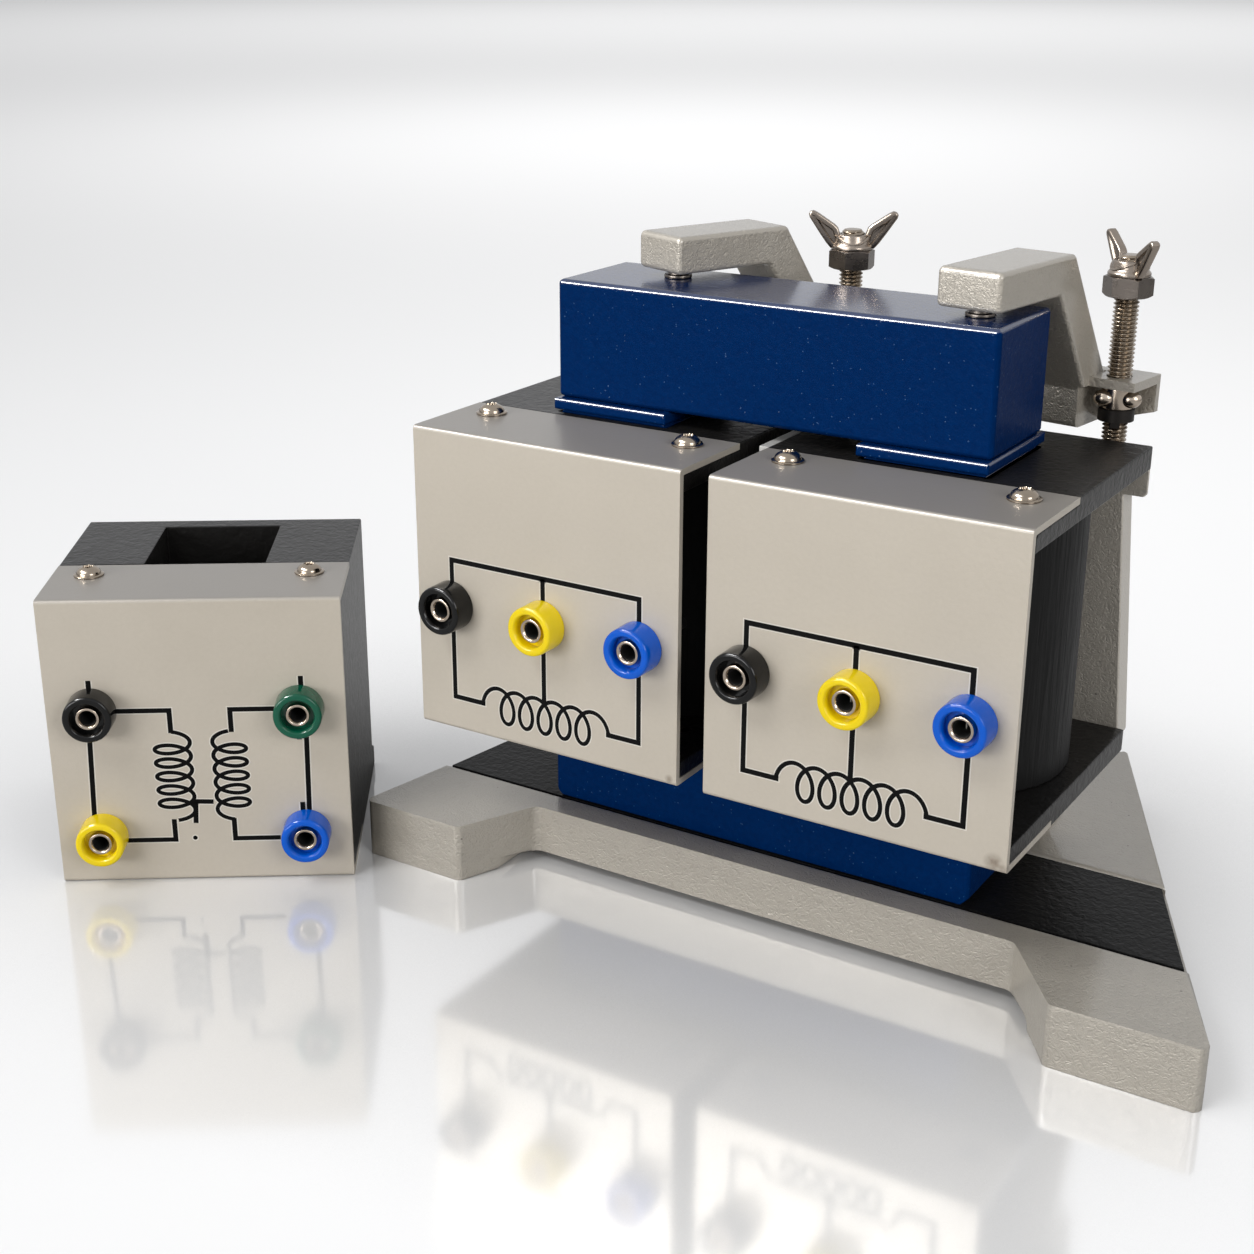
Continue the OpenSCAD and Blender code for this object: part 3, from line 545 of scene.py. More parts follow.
# %% Coil frames
coils = ("left", "right", "spare")
LIMB = 41.1
COIL_FOOT, FRONT = 43.0, 46.4
SPARE_TURN = math.radians(35)
SPARE_FOOT = Vector((-123.9, -81.0, 0)) * MM
FROM_MM = Matrix.Diagonal((MM, MM, MM, 1))


def coil_frame(side):
    """A matrix from a coil's frame (x, -out, z) in mm to metres."""
    if side == "spare":
        return (Matrix.Translation(SPARE_FOOT) @ Matrix.Rotation(SPARE_TURN, 4, "Z")
                @ FROM_MM)
    x = -LIMB if side == "left" else LIMB
    return Matrix.Translation(Vector((x, -FRONT, COIL_FOOT)) * MM) @ FROM_MM


def facing_out(side, x, z):
    """A matrix that puts a part drawn along +Z, in mm, on the panel's face."""
    return (coil_frame(side) @ Matrix.Translation((x, 0, z))
            @ Matrix.Rotation(math.radians(90), 4, "X"))


# %% [markdown]
# ## Coils
#
# Each coil is a black former with two flanges, a winding between them, and a
# folded panel over its front. Their edges and finishes are new here, and the
# folds of the panels are drawn tighter: thin sheet closed in a press brake
# bends round about 1 mm, which shows as one crisp line of light. The points
# of a fold are found by their distance from its centre, and moved out.

# %% Coils
FOLD, SHEET, HEIGHT = 2.6, 1.6, 77.5


def tight_folds(side, outside=1.0, inside=0.3):
    """A function that draws the folds of a coil's panel mesh tighter."""
    there = coil_frame(side)
    back = there.inverted()

    def shaped(mesh):
        for v in mesh.vertices:
            x, y, z = back @ v.co
            top = z > HEIGHT / 2
            dy, dz = FOLD - y, FOLD - (HEIGHT - z if top else z)
            far = math.hypot(dy, dz)
            if min(dy, dz) < -0.01 or min(abs(far - FOLD), abs(far - FOLD + SHEET)) > 0.05:
                continue
            start, bend = (0, outside) if abs(far - FOLD) < 0.05 else (SHEET, inside)
            y, z = (start + bend * (1 - d / far) for d in (dy, dz))
            v.co = there @ Vector((x, y, HEIGHT - z if top else z))
    return shaped


for side in coils:
    softened(side + "_former", 0.4, former_black)
    softened(side + "_winding", 0.6, tape_black)
    softened(side + "_panel", 0.4, panel_grey, 3, shaped=tight_folds(side), small=True)
print("coils:", coils)

# %% [markdown]
# ## Where the sockets are
#
# A working coil has three sockets in a row, for the two ends and the middle
# of its winding. The spare coil has four, one pair for each of two windings.

# %% Places of the sockets
sockets = {side: [(-27, 33.4, "black"), (0, 33.4, "yellow"), (27, 33.4, "blue")]
           for side in ("left", "right")}
sockets["spare"] = [(-26, 48, "black"), (26, 48, "green"), (-26, 13.3, "yellow"),
                    (26, 13.3, "blue")]

# %% [markdown]
# ## Turned parts
#
# Socket heads, sleeves and screw heads come off a lathe or out of a round
# mould, so they are made as a lathe would: a profile of radius and height,
# carried round in steps. The profile starts and ends on the axis or meets
# itself, so every part is closed. Corners are rounded in the profile itself.

# %% Lathe
def rounded_profile(points, steps=4):
    """Profile points (r, z, corner radius) with each corner rounded."""
    out = []
    n = len(points)
    for i, (r, z, fillet) in enumerate(points):
        here = Vector((r, z))
        if not fillet:
            out.append(here)
            continue
        back = Vector(points[(i - 1) % n][:2]) - here
        on = Vector(points[(i + 1) % n][:2]) - here
        reach = min(fillet, back.length / 2, on.length / 2)
        a, c = here + back.normalized() * reach, here + on.normalized() * reach
        for k in range(steps + 1):
            t = k / steps
            out.append(a * (1 - t) ** 2 + here * 2 * t * (1 - t) + c * t * t)
    return out


def circle(b, radius, z, sides):
    angles = (2 * math.pi * k / sides for k in range(sides))
    return [b.verts.new((radius * math.cos(a), radius * math.sin(a), z)) for a in angles]


def turned(profile, sides=72, ring=False):
    """A bmesh of the profile carried round Z. ring joins its two ends."""
    b = bmesh.new()
    rows = []
    for p in profile:
        rows.append(circle(b, p.x, p.y, sides) if p.x > 1e-6 else [b.verts.new((0, 0, p.y))])
    for low, high in zip(rows, rows[1:] + rows[:1] if ring else rows[1:]):
        if len(low) == len(high) == sides:
            band(b, low, high)
        elif len(low) != len(high):
            for k in range(sides):
                j = (k + 1) % sides
                b.faces.new((low[0], high[j], high[k]) if len(low) == 1
                            else (low[k], low[j], high[0]))
    bmesh.ops.recalc_face_normals(b, faces=b.faces)
    return b


def bmesh_object(name, parts, smooth=35):
    """One object from (bmesh, matrix) pairs. The bmeshes are used up."""
    whole = bmesh.new()
    for part, matrix in parts:
        scratch = bpy.data.meshes.new("scratch")
        part.to_mesh(scratch)
        scratch.transform(matrix)
        whole.from_mesh(scratch)
        bpy.data.meshes.remove(scratch)
        part.free()
    mesh = bpy.data.meshes.new(name)
    whole.to_mesh(mesh)
    whole.free()
    smoothed(mesh, smooth)
    return add_object(name, mesh)


# %% [markdown]
# ## Plug sockets
#
# A head has a round body, a rounded front rim and a step down to the metal
# sleeve. The sleeve's mouth is chamfered, which gives the bright ring that
# shows round its bore. A thin black lining inside the bore is painted shade:
# it keeps the bore dark.

# %% Sockets
HEAD = [(3.02, -9, 0), (4.9, -9, 0.3), (4.9, 0, 0), (6.25, 0, 0.3), (6.1, 6.4, 1.3),
        (4.5, 6.4, 0.3), (4.15, 5.7, 0.2), (4.15, 3.5, 0), (3.02, 3.5, 0)]
SLEEVE = [(0, -15.5, 0), (1, -15.5, 0.2), (1, -12.5, 0), (3, -12.5, 0.3), (3, 5.4, 0.35),
          (2.35, 5.4, 0.15), (2.0, 4.9, 0.1), (2.0, -11, 0), (0, -11, 0)]
# A thin tube inside each bore, painted black as shade.
BORE_SHADE = [(1.93, -10.9, 0), (1.995, -10.9, 0), (1.995, 4.5, 0), (1.93, 4.5, 0)]
for side in coils:
    for x, z, colour in sockets[side]:
        head = bmesh_object(f"{side}_head_{colour}", [
            (turned(rounded_profile(HEAD), ring=True), facing_out(side, x, z))])
        stand_in(head, f"{side}_socket_{colour}", head_paint[colour])
    sleeves = bmesh_object(side + "_sleeve_set", [
        (turned(rounded_profile(SLEEVE), 48), facing_out(side, x, z)) for x, z, _ in sockets[side]])
    stand_in(sleeves, side + "_sleeves", nickel)
    # Each bore is lined with painted shade.
    bore_shades = bmesh_object(side + "_bores", [
        (turned(rounded_profile(BORE_SHADE), 48, ring=True), facing_out(side, x, z))
        for x, z, _ in sockets[side]])
    painted(bore_shades.data, edge_black)
    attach(bore_shades, body_of_node[side + "_sleeves"])
    painted(nodes[side + "_socket_nuts"].data, steel)
    painted(nodes[side + "_leads"].data, lead_black)
print("sockets:", sum(len(s) for s in sockets.values()))

# %% [markdown]
# ## Geometry Nodes, with named sizes
#
# What repeats or follows a rule is made by Geometry Nodes. `Recipe` is a tree
# with named inputs. `bake` runs it on an object and gives back a plain mesh,
# because the exported model keeps no modifiers and no instances.

# %% Recipes
class Recipe(Tree):
    """A Geometry Nodes tree with named number, object and material inputs."""

    KINDS = {"number": "NodeSocketFloat", "count": "NodeSocketInt", "object": "NodeSocketObject",
             "material": "NodeSocketMaterial"}

    def __init__(self, name, **inputs):
        group = bpy.data.node_groups.new(name, "GeometryNodeTree")
        super().__init__(group)
        face = group.interface
        face.new_socket("Geometry", in_out="INPUT", socket_type="NodeSocketGeometry")
        face.new_socket("Geometry", in_out="OUTPUT", socket_type="NodeSocketGeometry")
        for label, kind in inputs.items():
            face.new_socket(label, in_out="INPUT", socket_type=self.KINDS[kind])
        start = self.tree.nodes.new("NodeGroupInput")
        self.given = {s.name: Wire(self, s) for s in start.outputs if s.name}

    def finish(self, geometry):
        """Realize Instances and Set Material, then the output."""
        real = self.wire("GeometryNodeRealizeInstances", {}, {0: geometry})
        self.node("NodeGroupOutput", {}, {0: self.wire("GeometryNodeSetMaterial", {}, {
            "Geometry": real, "Material": self.given["material"]})})
        return self

    def bake(self, name, carrier, **values):
        """The recipe's result on the carrier mesh, as an object with a plain mesh."""
        obj = add_object(name, carrier)
        modifier = obj.modifiers.new("recipe", "NODES")
        modifier.node_group = self.tree
        ids = {s.name: s.identifier for s in self.tree.interface.items_tree
               if s.in_out == "INPUT"}
        for label, value in values.items():
            modifier[ids[label]] = value
        return applied(obj)


def points_mesh(places, turns):
    """A mesh of loose points, each with a turn in degrees."""
    mesh = bpy.data.meshes.new("points")
    mesh.from_pydata([tuple(p) for p in places], [], [])
    turn_of = mesh.attributes.new("turn", "FLOAT", "POINT")
    for i, degrees in enumerate(turns):
        turn_of.data[i].value = math.radians(degrees)
    return mesh


# %% [markdown]
# ## Screws in a row
#
# The same screw sits in many places, so it is drawn once and set at points.
# Each point carries its own turn, because nobody stops every screw at the
# same angle. The head is a dome with a thin rim and a six-lobed recess.

# %% Screws
at_points = Recipe("screws_at_points", screw="object", material="material")
shape = at_points.wire("GeometryNodeObjectInfo", {}, {"Object": at_points.given["screw"]},
                       "Geometry")
own_turn = at_points.wire("GeometryNodeInputNamedAttribute", {"data_type": "FLOAT"},
                          {"Name": "turn"})
spin = at_points.wire("ShaderNodeCombineXYZ", {}, {2: own_turn})
at_points.finish(at_points.wire("GeometryNodeInstanceOnPoints", {}, {
    "Points": at_points.given["Geometry"], "Instance": shape, "Rotation": spin}))


def lobed(profile, recess_r, depth, top, sides=60, lobes=6):
    """A turned head with a lobed recess sunk into its middle."""
    rim = [p for p in profile if p.x > recess_r + 0.2]
    b = turned(rim, sides)
    ring_top = [v for v in b.verts if abs(v.co.z - rim[-1].y) < 1e-6
                and abs(v.co.xy.length - rim[-1].x) < 1e-6]
    ring_top.sort(key=lambda v: math.atan2(v.co.y, v.co.x))
    rings = [ring_top]
    for z, grow in ((top, 1.0), (top - 0.12, 0.93), (top - depth, 0.9)):
        ring = []
        for v in ring_top:
            a = math.atan2(v.co.y, v.co.x)
            r = recess_r * grow * (1 + 0.13 * math.cos(lobes * a))
            ring.append(b.verts.new((r * math.cos(a), r * math.sin(a), z)))
        rings.append(ring)
    middle = b.verts.new((0, 0, top - depth - 0.25))
    for low, high in zip(rings, rings[1:]):
        band(b, low, high)
    for k in range(sides):
        b.faces.new((rings[-1][k], rings[-1][(k + 1) % sides], middle))
    bmesh.ops.recalc_face_normals(b, faces=b.faces)
    return b


dome = [(0, -5.0), (1.9, -5.0), (2.0, -4.8), (2.0, 0), (3.65, 0), (3.8, 0.12), (3.8, 0.42),
        (3.62, 0.58), (3.15, 0.62)]
dome += [(3.12 * math.cos(t), 0.66 + 1.94 * math.sin(t))
         for t in (math.radians(a) for a in range(4, 73, 4))]
cone = [(0, -5.0), (1.9, -5.0), (2, -4.8), (2, -1.6), (3.4, -0.22), (3.4, -0.12), (1.6, -0.12)]
button = bmesh_object("button_screw", [(lobed(map(Vector, dome), 1.3, 1.3, 2.42), FROM_MM)])
sunk = bmesh_object("sunk_screw", [(lobed(map(Vector, cone), 1.0, 1.3, -0.12), FROM_MM)])
ASIDE, BEHIND = 28, 19.4
for side in coils:
    tops, feet = ([coil_frame(side) @ Vector((x, BEHIND, z)) for x in (-ASIDE, ASIDE)]
                  for z in (HEIGHT, 0))
    upper = at_points.bake("scratch_up", points_mesh(tops, (12, 47)), screw=button,
                           material=screw_nickel)
    flipped = [Vector((p.x, -p.y, -p.z)) for p in feet]
    lower = at_points.bake("scratch_low", points_mesh(flipped, (20, 5)), screw=sunk,
                           material=screw_nickel)
    lower.data.transform(Matrix.Rotation(math.pi, 4, "X"))
    both = bmesh.new()
    both.from_mesh(upper.data)
    both.from_mesh(lower.data)
    mesh = bpy.data.meshes.new(side + "_screw_set")
    both.to_mesh(mesh)
    both.free()
    smoothed(mesh, 38)
    for scratch in (upper, lower):
        bpy.data.objects.remove(scratch)
    stand_in(add_object(side + "_screw_set", mesh), side + "_flap_screws", screw_nickel)
for pattern in (button, sunk):
    bpy.data.objects.remove(pattern)
print("flap screws:", 4 * len(coils))

# %% [markdown]
# ## Threads
#
# A thread is a rule: the radius falls and rises once for each pitch of
# height, and the whole pattern climbs one pitch in each turn. A flat grid is
# rolled into a rod by that rule. Its first and last rows close on the axis.

# %% Threaded rods
rolled = Recipe("threaded_rod", radius="number", pitch="number", depth="number",
                length="number", chamfer="number", rows="count", material="material")
r = rolled.given
grid = rolled.wire("GeometryNodeMeshGrid", {}, {
    "Size X": 1.0, "Size Y": 1.0, "Vertices X": 33, "Vertices Y": r["rows"]})
xyz = rolled.node("ShaderNodeSeparateXYZ", {}, {
    0: rolled.wire("GeometryNodeInputPosition")})
around, along = Wire(rolled, xyz.outputs[0]) + 0.5, Wire(rolled, xyz.outputs[1]) + 0.5
angle = around * (2 * math.pi)
height = along * r["length"]
groove = ((height / r["pitch"] - around).part() - 0.5).size() * 2
reach = r["radius"] - r["depth"] * (1.25 * groove - 0.12).high(0).low(1)
ends = height.low(r["length"] - height) + (r["radius"] - r["chamfer"])
inside = (along > 0.0005) * (along < 0.9995)
reach = reach.low(ends) * inside
rolled_place = rolled.wire("ShaderNodeCombineXYZ", {}, {
    0: angle.cosine() * reach, 1: angle.sine() * reach, 2: height})
rod = rolled.wire("GeometryNodeSetPosition", {}, {"Geometry": grid, "Position": rolled_place})
rod = rolled.wire("GeometryNodeMergeByDistance", {}, {"Geometry": rod, "Distance": 1e-6})
rolled.finish(rod)


def threaded(name, foot, length_mm, radius_mm, pitch_mm, depth_mm, chamfer_mm, material):
    """A threaded rod standing on foot."""
    rod = rolled.bake(name, bpy.data.meshes.new("seed"), radius=radius_mm * MM, pitch=pitch_mm * MM,
                      depth=depth_mm * MM, length=length_mm * MM, chamfer=chamfer_mm * MM,
                      rows=int(length_mm / pitch_mm * 10) + 1, material=material)
    rod.data.transform(Matrix.Translation(foot))
    outward(rod.data)
    smoothed(rod.data, 40)
    return rod


for side in ("left", "right"):
    low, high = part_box(side + "_stud")
    middle = (Vector(low) + Vector(high)) / 2
    length = (high[2] - low[2]) / MM
    stud = threaded(side + "_stud_thread", Vector((middle.x, middle.y, low[2])), length,
                    radius_mm=3.0, pitch_mm=1.0, depth_mm=0.58, chamfer_mm=1.0,
                    material=thread_nickel)
    stand_in(stud, side + "_stud", thread_nickel)
    print(side, "stud:", len(stud.data.vertices), "points,", round(length, 1), "mm")

# %% [markdown]
# ## Nuts
#
# A hexagon nut is a hexagon with its corners turned off: the flat sides meet
# a cone at top and bottom, which leaves the curved edge that every real nut
# shows.

# %% Hexagon nuts
def hexagon_nut(across, height, bore, lean):
    """A bmesh of a chamfered hexagon nut from 0 to height, in mm."""
    b = bmesh.new()
    sides, slope, steps = 72, 0.55, 6
    flat, corner, sixth = across / 2, across / 2 / math.cos(math.pi / 6), math.pi / 3
    narrow, levels = flat * 0.985, []
    for t in range(steps + 1):
        levels.append((slope * (corner - flat) * t / steps, narrow + (corner - narrow) * t / steps))
    rings = [circle(b, bore, 0.4, sides), circle(b, bore + 0.5, 0, sides)]
    for z, limit in levels + [(height - z, limit) for z, limit in levels[::-1]]:
        rings.append([])
        for k in range(sides):
            a = 2 * math.pi * k / sides
            r = min(flat / math.cos((a + sixth / 2) % sixth - sixth / 2), limit)
            rings[-1].append(b.verts.new((r * math.cos(a + lean), r * math.sin(a + lean), z)))
    rings += [circle(b, bore + 0.5, height, sides), circle(b, bore, height - 0.4, sides)]
    for low, high in zip(rings, rings[1:] + rings[:1]):
        band(b, low, high)
    bmesh.ops.recalc_face_normals(b, faces=b.faces)
    return b


def on_stud(side, node):
    """A matrix that puts a part drawn in mm on a stud, at the foot of a node."""
    low, high = (Vector(corner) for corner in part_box(side + "_stud"))
    axis = (low + high) / 2
    return Matrix.Translation((axis.x, axis.y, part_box(node)[0][2])) @ FROM_MM


for side, lean in (("left", 10), ("right", -20)):
    low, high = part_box(side + "_hex_nut")
    nut = bmesh_object(side + "_hexagon", [
        (hexagon_nut(10.2, (high[2] - low[2]) / MM, 3.05, math.radians(lean)),
         on_stud(side, side + "_hex_nut"))], 24)
    stand_in(nut, side + "_hex_nut", dark_nickel)

# %% [markdown]
# ## Wing nuts
#
# A wing nut is cast: a low hub, and two wings that lean outwards. Each wing is
# a plate with a thick rim round a sunken face, so its faces are inset and
# pushed in before the edges are rounded. Two thin ribs run from wing to wing
# round the hub.

# %% Wing nuts
WING = [(3.0, 0.15), (5.4, 0.15), (6.6, 1.5), (8.4, 4.0), (10.9, 7.7), (11.15, 8.5), (10.75, 9.15),
        (9.9, 9.4), (8.9, 8.9), (6.6, 7.4), (4.5, 6.0), (3.7, 5.2), (3.35, 4.2), (3.0, 3.4)]
HUB = [(3.05, 0, 0), (5, 0, 0.25), (5, 0.8, 0.3), (4.3, 1.6, 0.4), (3.95, 3.7, 0.4), (3.05, 3.7, 0)]


def wing(outline, thickness, rim, sunk):
    """A closed plate in X and Z with a rim round its sunken faces, in mm."""
    b = bmesh.new()
    rings = [[b.verts.new((x, s * thickness / 2, z)) for x, z in outline] for s in (-1, 1)]
    sides = [b.faces.new(rings[0]), b.faces.new(rings[1][::-1])]
    for k in range(len(outline)):
        j = (k + 1) % len(outline)
        b.faces.new((rings[0][j], rings[0][k], rings[1][k], rings[1][j]))
    bmesh.ops.recalc_face_normals(b, faces=b.faces)
    edge = [e for e in b.edges if e.calc_face_angle() > 0.9]
    bmesh.ops.bevel(b, geom=edge, offset=0.5, segments=4, profile=0.5, affect="EDGES")
    flats = sorted(b.faces, key=lambda f: -f.calc_area())[:2]
    bmesh.ops.inset_individual(b, faces=flats, thickness=rim)
    bmesh.ops.inset_individual(b, faces=flats, thickness=0.3, depth=-sunk)
    return b


def rib(points, radius, sides=8):
    """A closed round wire through points, in mm."""
    b = bmesh.new()
    rings = []
    for i, p in enumerate(points):
        along = (points[min(i + 1, len(points) - 1)] - points[max(i - 1, 0)]).normalized()
        across = along.orthogonal().normalized()
        if rings:
            across = (old_across - along * old_across.dot(along)).normalized()
        old_across, other = across, along.cross(across)
        rings.append([b.verts.new(p + (across * math.cos(t) + other * math.sin(t)) * radius)
                      for t in (2 * math.pi * k / sides for k in range(sides))])
    for low, high in zip(rings, rings[1:]):
        band(b, low, high)
    b.faces.new(rings[0][::-1])
    b.faces.new(rings[-1])
    bmesh.ops.recalc_face_normals(b, faces=b.faces)
    return b


for side, turn_deg in (("left", 27), ("right", -44)):
    place = on_stud(side, side + "_wing_nut")
    parts = [(turned(rounded_profile(HUB), 60, ring=True), place)]
    for half in (0, 180):
        spin = place @ Matrix.Rotation(math.radians(turn_deg + half), 4, "Z")
        parts.append((wing(WING, 2.2, 0.75, 0.45), spin))
        dip = [Vector((4.25 * math.cos(t), 4.25 * math.sin(t), 3.5 - 2.1 * math.sin(t) ** 2))
               for t in (math.pi * k / 24 for k in range(25))]
        parts.append((rib(dip, 0.34), spin))
    stand_in(bmesh_object(side + "_wings", parts), side + "_wing_nut", wing_nickel)
print("wing nuts made")

# %% [markdown]
# ## The small nuts in the lugs
#
# Inside each lug a small nut with two thumb lobes grips the stud, over a dark
# collar. A lobe is egg-shaped, so it comes off the lathe as well: half an
# ellipse, turned about its long axis, and laid on its side.

# %% Small nuts
LOBE_HUB = [(3.05, 0, 0), (3.9, 0, 0.3), (3.85, 5.2, 0.4), (3.05, 5.2, 0)]
LOBE = [Vector((2.1 * math.cos(t), 2.6 * math.sin(t)))
        for t in (math.radians(a) for a in range(-90, 91, 10))]
for side, swing in (("left", -22), ("right", -8)):
    place = (on_stud(side, side + "_lock_nut")
             @ Matrix.Rotation(math.radians(swing + 25), 4, "Z"))
    parts = [(turned(rounded_profile(LOBE_HUB), 48, ring=True), place)]
    for x in (-3.1, 3.1):
        parts.append((turned(LOBE, 32), place @ Matrix.Translation((x, -2.2, 2.6))
                      @ Matrix.Rotation(math.radians(90), 4, "Y")))
    stand_in(bmesh_object(side + "_lobes", parts, 60), side + "_lock_nut", nickel)
    softened(side + "_lock_collar", 0.3, dark_steel, small=True)
    softened(side + "_pressure_screw", 0.25, dark_nickel, small=True)
for name in ("core_bolts", "plate_screws"):
    softened(name, 0.25, steel, small=True)
print("small nuts and screws made")

# %% [markdown]
# ## The printed circuit lines
#
# Each panel has its circuit printed on it: straight lines between the sockets
# and the sign for a coil. The lines are thin solids laid on the paint. A
# straight run is one ribbon with mitred corners. The coil sign is a rule, a
# point that circles as it walks, so Geometry Nodes draw it.

# %% Printed lines
LINE, EDGE = 1.28, 0.30


def ribbon(b, points, width, low, high):
    """Adds a flat closed ribbon along points (x, z), between two heights."""
    pts = [Vector(p) for p in points]
    rings = []
    for i, p in enumerate(pts):
        before = (p - pts[i - 1]).normalized() if i else (pts[1] - p).normalized()
        after = (pts[i + 1] - p).normalized() if i + 1 < len(pts) else before
        side_a, side_b = Vector((-before.y, before.x)), Vector((-after.y, after.x))
        mitre = (side_a + side_b).normalized()
        mitre *= width / 2 / max(0.3, mitre.dot(side_a))
        rings.append([b.verts.new((q.x, -h, q.y)) for q, h in
                      ((p - mitre, low), (p + mitre, low), (p + mitre, high), (p - mitre, high))])
    for before, after in zip(rings, rings[1:]):
        band(b, before, after)
    b.faces.new(rings[0][::-1])
    b.faces.new(rings[-1])


sign = Recipe("coil_sign", turns="number", pitch="number", across="number", along="number",
              width="number", low="number", high="number", material="material")
g = sign.given
STEPS = 420
walk = sign.wire("GeometryNodeMeshLine", {}, {"Count": STEPS})
index = sign.wire("GeometryNodeInputIndex")
share = index / (STEPS - 1)
phase = share * (g["turns"] * 2 + 1) * math.pi
walked = phase / (2 * math.pi) * g["pitch"] - (phase.cosine() - 1) * g["along"]
raised = phase.sine() * g["across"]
line = sign.wire("GeometryNodeSetPosition", {}, {"Geometry": walk, "Position": sign.wire(
    "ShaderNodeCombineXYZ", {}, {0: walked, 1: raised, 2: share * 0.000012})})
path = sign.wire("GeometryNodeMeshToCurve", {}, {0: line})
path = sign.wire("GeometryNodeSetCurveNormal", {"mode": "Z_UP"}, {0: path})
strip = sign.wire("GeometryNodeCurvePrimitiveQuadrilateral", {}, {
    "Width": g["width"], "Height": g["high"] - g["low"]})
flat = sign.wire("GeometryNodeCurveToMesh", {}, {"Curve": path, "Profile Curve": strip,
                                                "Fill Caps": True})
flat = sign.wire("GeometryNodeSetPosition", {}, {"Geometry": flat, "Offset": sign.wire(
    "ShaderNodeCombineXYZ", {}, {2: (g["low"] + g["high"]) / 2})})
sign.finish(flat)


def printed(side, runs, signs, dots=()):
    """Lays lines, coil signs and dots on a panel, with a pale edge under them."""
    place = coil_frame(side)
    for label, grow, low, high, paint in (("edge", 2 * EDGE, 0.0, 0.012, ink_edge),
                                          ("lines", 0.0, 0.0, 0.035, ink)):
        b = bmesh.new()
        for points in runs:
            ribbon(b, points, LINE + grow, low, high)
        whole = [(b, place)]
        for x, z, radius in dots:
            disc = [Vector((0, low)), Vector((radius + grow / 2, low)),
                    Vector((radius + grow / 2, high)), Vector((0, high))]
            whole.append((turned(disc, 24), facing_out(side, x, z)))
        for spot, turned_by, mirrored, pitch, across, along in signs:
            coil = sign.bake(
                "scratch_sign", bpy.data.meshes.new("seed"), turns=5.0, pitch=pitch * MM,
                across=across * MM, along=along * MM, width=(LINE * 0.82 + grow) * MM,
                low=low * MM, high=high * MM, material=paint)
            put = (place @ Matrix.Translation((spot[0], 0, spot[1]))
                   @ Matrix.Diagonal((1 / MM, 1 / MM, 1 / MM, 1))
                   @ Matrix.Rotation(math.radians(90), 4, "X")
                   @ Matrix.Rotation(math.radians(turned_by), 4, "Z")
                   @ Matrix.Diagonal((1, mirrored, 1, 1)))
            c = bmesh.new()
            c.from_mesh(coil.data)
            bpy.data.objects.remove(coil)
            whole.append((c, put))
        obj = bmesh_object(f"{side}_print_{label}", whole, 30)
        outward(obj.data)
        painted(obj.data, paint)
        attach(obj, body_of_node[side + "_panel"])


for side in ("left", "right"):
    printed(side, [[(-18.4, 9.6), (-18.4, 8.9), (-27, 8.9), (-27, 45), (27, 45), (27, 8.9),
                    (18.5, 8.9), (18.5, 9.6)], [(0, 45), (0, 13.2)]],
            [((-18.4, 9.35), 0, 1, 5.55, 4.45, 3.2)])
printed("spare", [[(-26.2, 56.2), (-26.2, 50)], [(26.6, 56.6), (26.6, 50)],
                  [(-27.1, 44), (-28.1, 17.5)], [(27.3, 44), (26.8, 17.6)],
                  [(-22, 47.8), (-6.8, 47.8), (-6.8, 41.6)], [(22, 47.8), (8.4, 47.8), (8.4, 41.6)],
                  [(-21, 11.6), (-7.9, 11.6), (-7.9, 17.4)], [(19, 11.6), (7.4, 11.6), (7.4, 17.4)],
                  [(25.4, 42), (25.4, 39.2)], [(25.2, 21.6), (25.2, 17.6)],
                  [(-2.9, 22.4), (2.5, 22.2)], [(-2.0, 22.3), (-2.4, 16.2)]],
        [((-6.75, 41.9), -90, 1, 3.78, 4.5, 2.0), ((7.6, 41.9), -90, -1, 3.78, 4.2, 2.0)],
        [(-2.9, 12.0, 0.6)])
print("printed lines laid on", len(coils), "panels")

# %% [markdown]
# ## Floor
#
# A broad sheet of glossy white carries the apparatus and mirrors it softly.
# A third of its light is a mirror image and the rest is white. Only the eye
# sees the mirror image, so no lamp is thrown up on the panels. The white is
# mostly a glow that only the camera and mirror images see, so the ground is
# white while the apparatus is lit no more than it needs. The glow is dimmed
# where the apparatus covers the sky, as daylight would be. It lies in three
# soft round pools, one under the apparatus and two broader ones behind it.

# %% Floor
POOLS = ((0.04, 0.32, 0.72, 0.32), (-0.87, 1.49, 0.87, 0.375), (-1.98, 4.06, 2.8, 0.43))
MIRRORED = 0.34


def seen_by(tree):
    """1 on the rays of the camera, of mirror images, and through glass."""
    kinds = tree.node("ShaderNodeLightPath").outputs
    return [Wire(tree, kinds[f"Is {kind} Ray"]) for kind in ("Camera", "Glossy", "Transmission")]


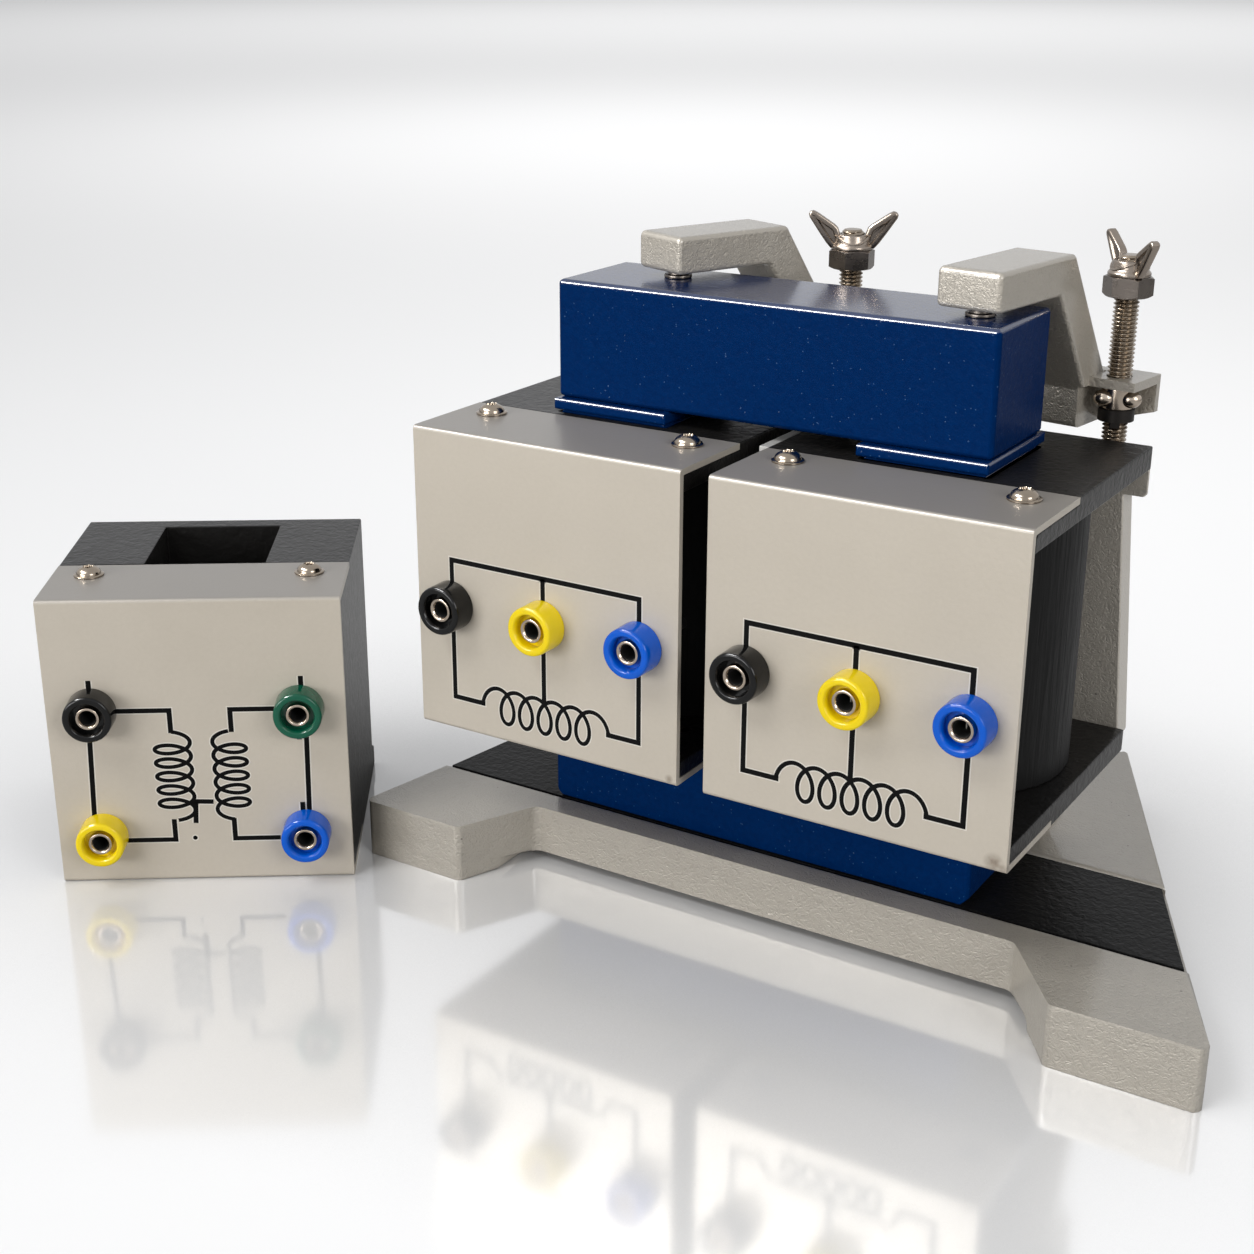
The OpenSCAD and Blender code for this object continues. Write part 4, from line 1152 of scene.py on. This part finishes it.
def floor_white():
    f = Finish("floor_white")
    pool = 0.09
    for x, y, radius, level in POOLS:
        far = f.wire("ShaderNodeVectorMath", {"operation": "DISTANCE"}, {
            0: f.place, 1: (x, y, 0)}, "Value") / radius
        pool = pool + level * (2.718 ** (far * far * -1))
    open_sky = f.wire("ShaderNodeAmbientOcclusion", {"samples": 8}, {"Distance": 0.13}, "AO")
    by_eye, by_mirror, through_glass = seen_by(f)
    glow = f.wire("ShaderNodeEmission", {}, {
        "Color": (1, 1, 1, 1),
        "Strength": pool * open_sky ** 2.6 * by_eye.high(by_mirror).high(through_glass)})
    white = f.node("ShaderNodeBsdfDiffuse", {}, {"Color": (0.80, 0.80, 0.805, 1)})
    mirror = f.node("ShaderNodeBsdfGlossy", {}, {"Color": by_eye, "Roughness": 0.10})
    both = f.wire("ShaderNodeMixShader", {}, {
        0: MIRRORED, 1: Wire(f, white.outputs[0]), 2: Wire(f, mirror.outputs[0])})
    both = f.wire("ShaderNodeAddShader", {}, {0: both, 1: glow})
    f.node("ShaderNodeOutputMaterial", {}, {"Surface": both})
    return f.material


floor = bpy.data.meshes.new("floor")
floor.from_pydata([(-25, -25, 0), (25, -25, 0), (25, 25, 0), (-25, 25, 0)], [], [(0, 1, 2, 3)])
floor.materials.append(floor_white())
floor = add_object("floor", floor)
floor.location.z = -0.00005

# %% [markdown]
# ## Light
#
# The front lamp is broad and low, so upright faces are bright and the tops
# stay darker. A high one lights the tops a little, and one on the right keeps
# that side from sinking. The glint is a long narrow lamp high on the left that
# only glossy coats see: it lays no light or shadow on anything, but it draws
# the bright lines along rounded edges.

# %% Light
def lamp(name, place, aim, size, power):
    data = bpy.data.lights.new(name, "AREA")
    data.shape = "RECTANGLE"
    data.size, data.size_y = size
    data.energy = power
    obj = bpy.data.objects.new(name, data)
    obj.location = place
    obj.rotation_euler = (Vector(aim) - Vector(place)).to_track_quat("-Z", "Y").to_euler()
    bpy.context.scene.collection.objects.link(obj)
    return obj


lamp("front", (-0.45, -1.45, 0.38), (0, 0, 0.08), (1.1, 0.5), 12.6)
lamp("high", (-0.35, -0.75, 1.10), (0, 0, 0.10), (0.6, 0.4), 5.2)
glint = lamp("glint", (-0.65, -0.70, 1.05), (0, 0, 0.10), (0.8, 0.2), 32.0)
glint.visible_diffuse = False
lamp("side", (1.2, -0.50, 0.60), (0, 0, 0.08), (0.6, 0.6), 6.5)

world = bpy.data.worlds.new("studio")
bpy.context.scene.world = world
world.use_nodes = True
sky = Tree(world.node_tree)
world.node_tree.nodes.clear()
by_eye, by_mirror, through_glass = seen_by(sky)
dim = sky.wire("ShaderNodeBackground", {}, {"Color": (1, 1, 1, 1), "Strength": 0.13})
bright = sky.wire("ShaderNodeBackground", {}, {"Color": (0.84, 0.845, 0.86, 1), "Strength": 1.0})
sky.node("ShaderNodeOutputWorld", {}, {"Surface": sky.wire(
    "ShaderNodeMixShader", {}, {0: by_eye.high(by_mirror).high(through_glass), 1: dim,
                                2: bright})})
bpy.context.scene.view_settings.view_transform = "Standard"
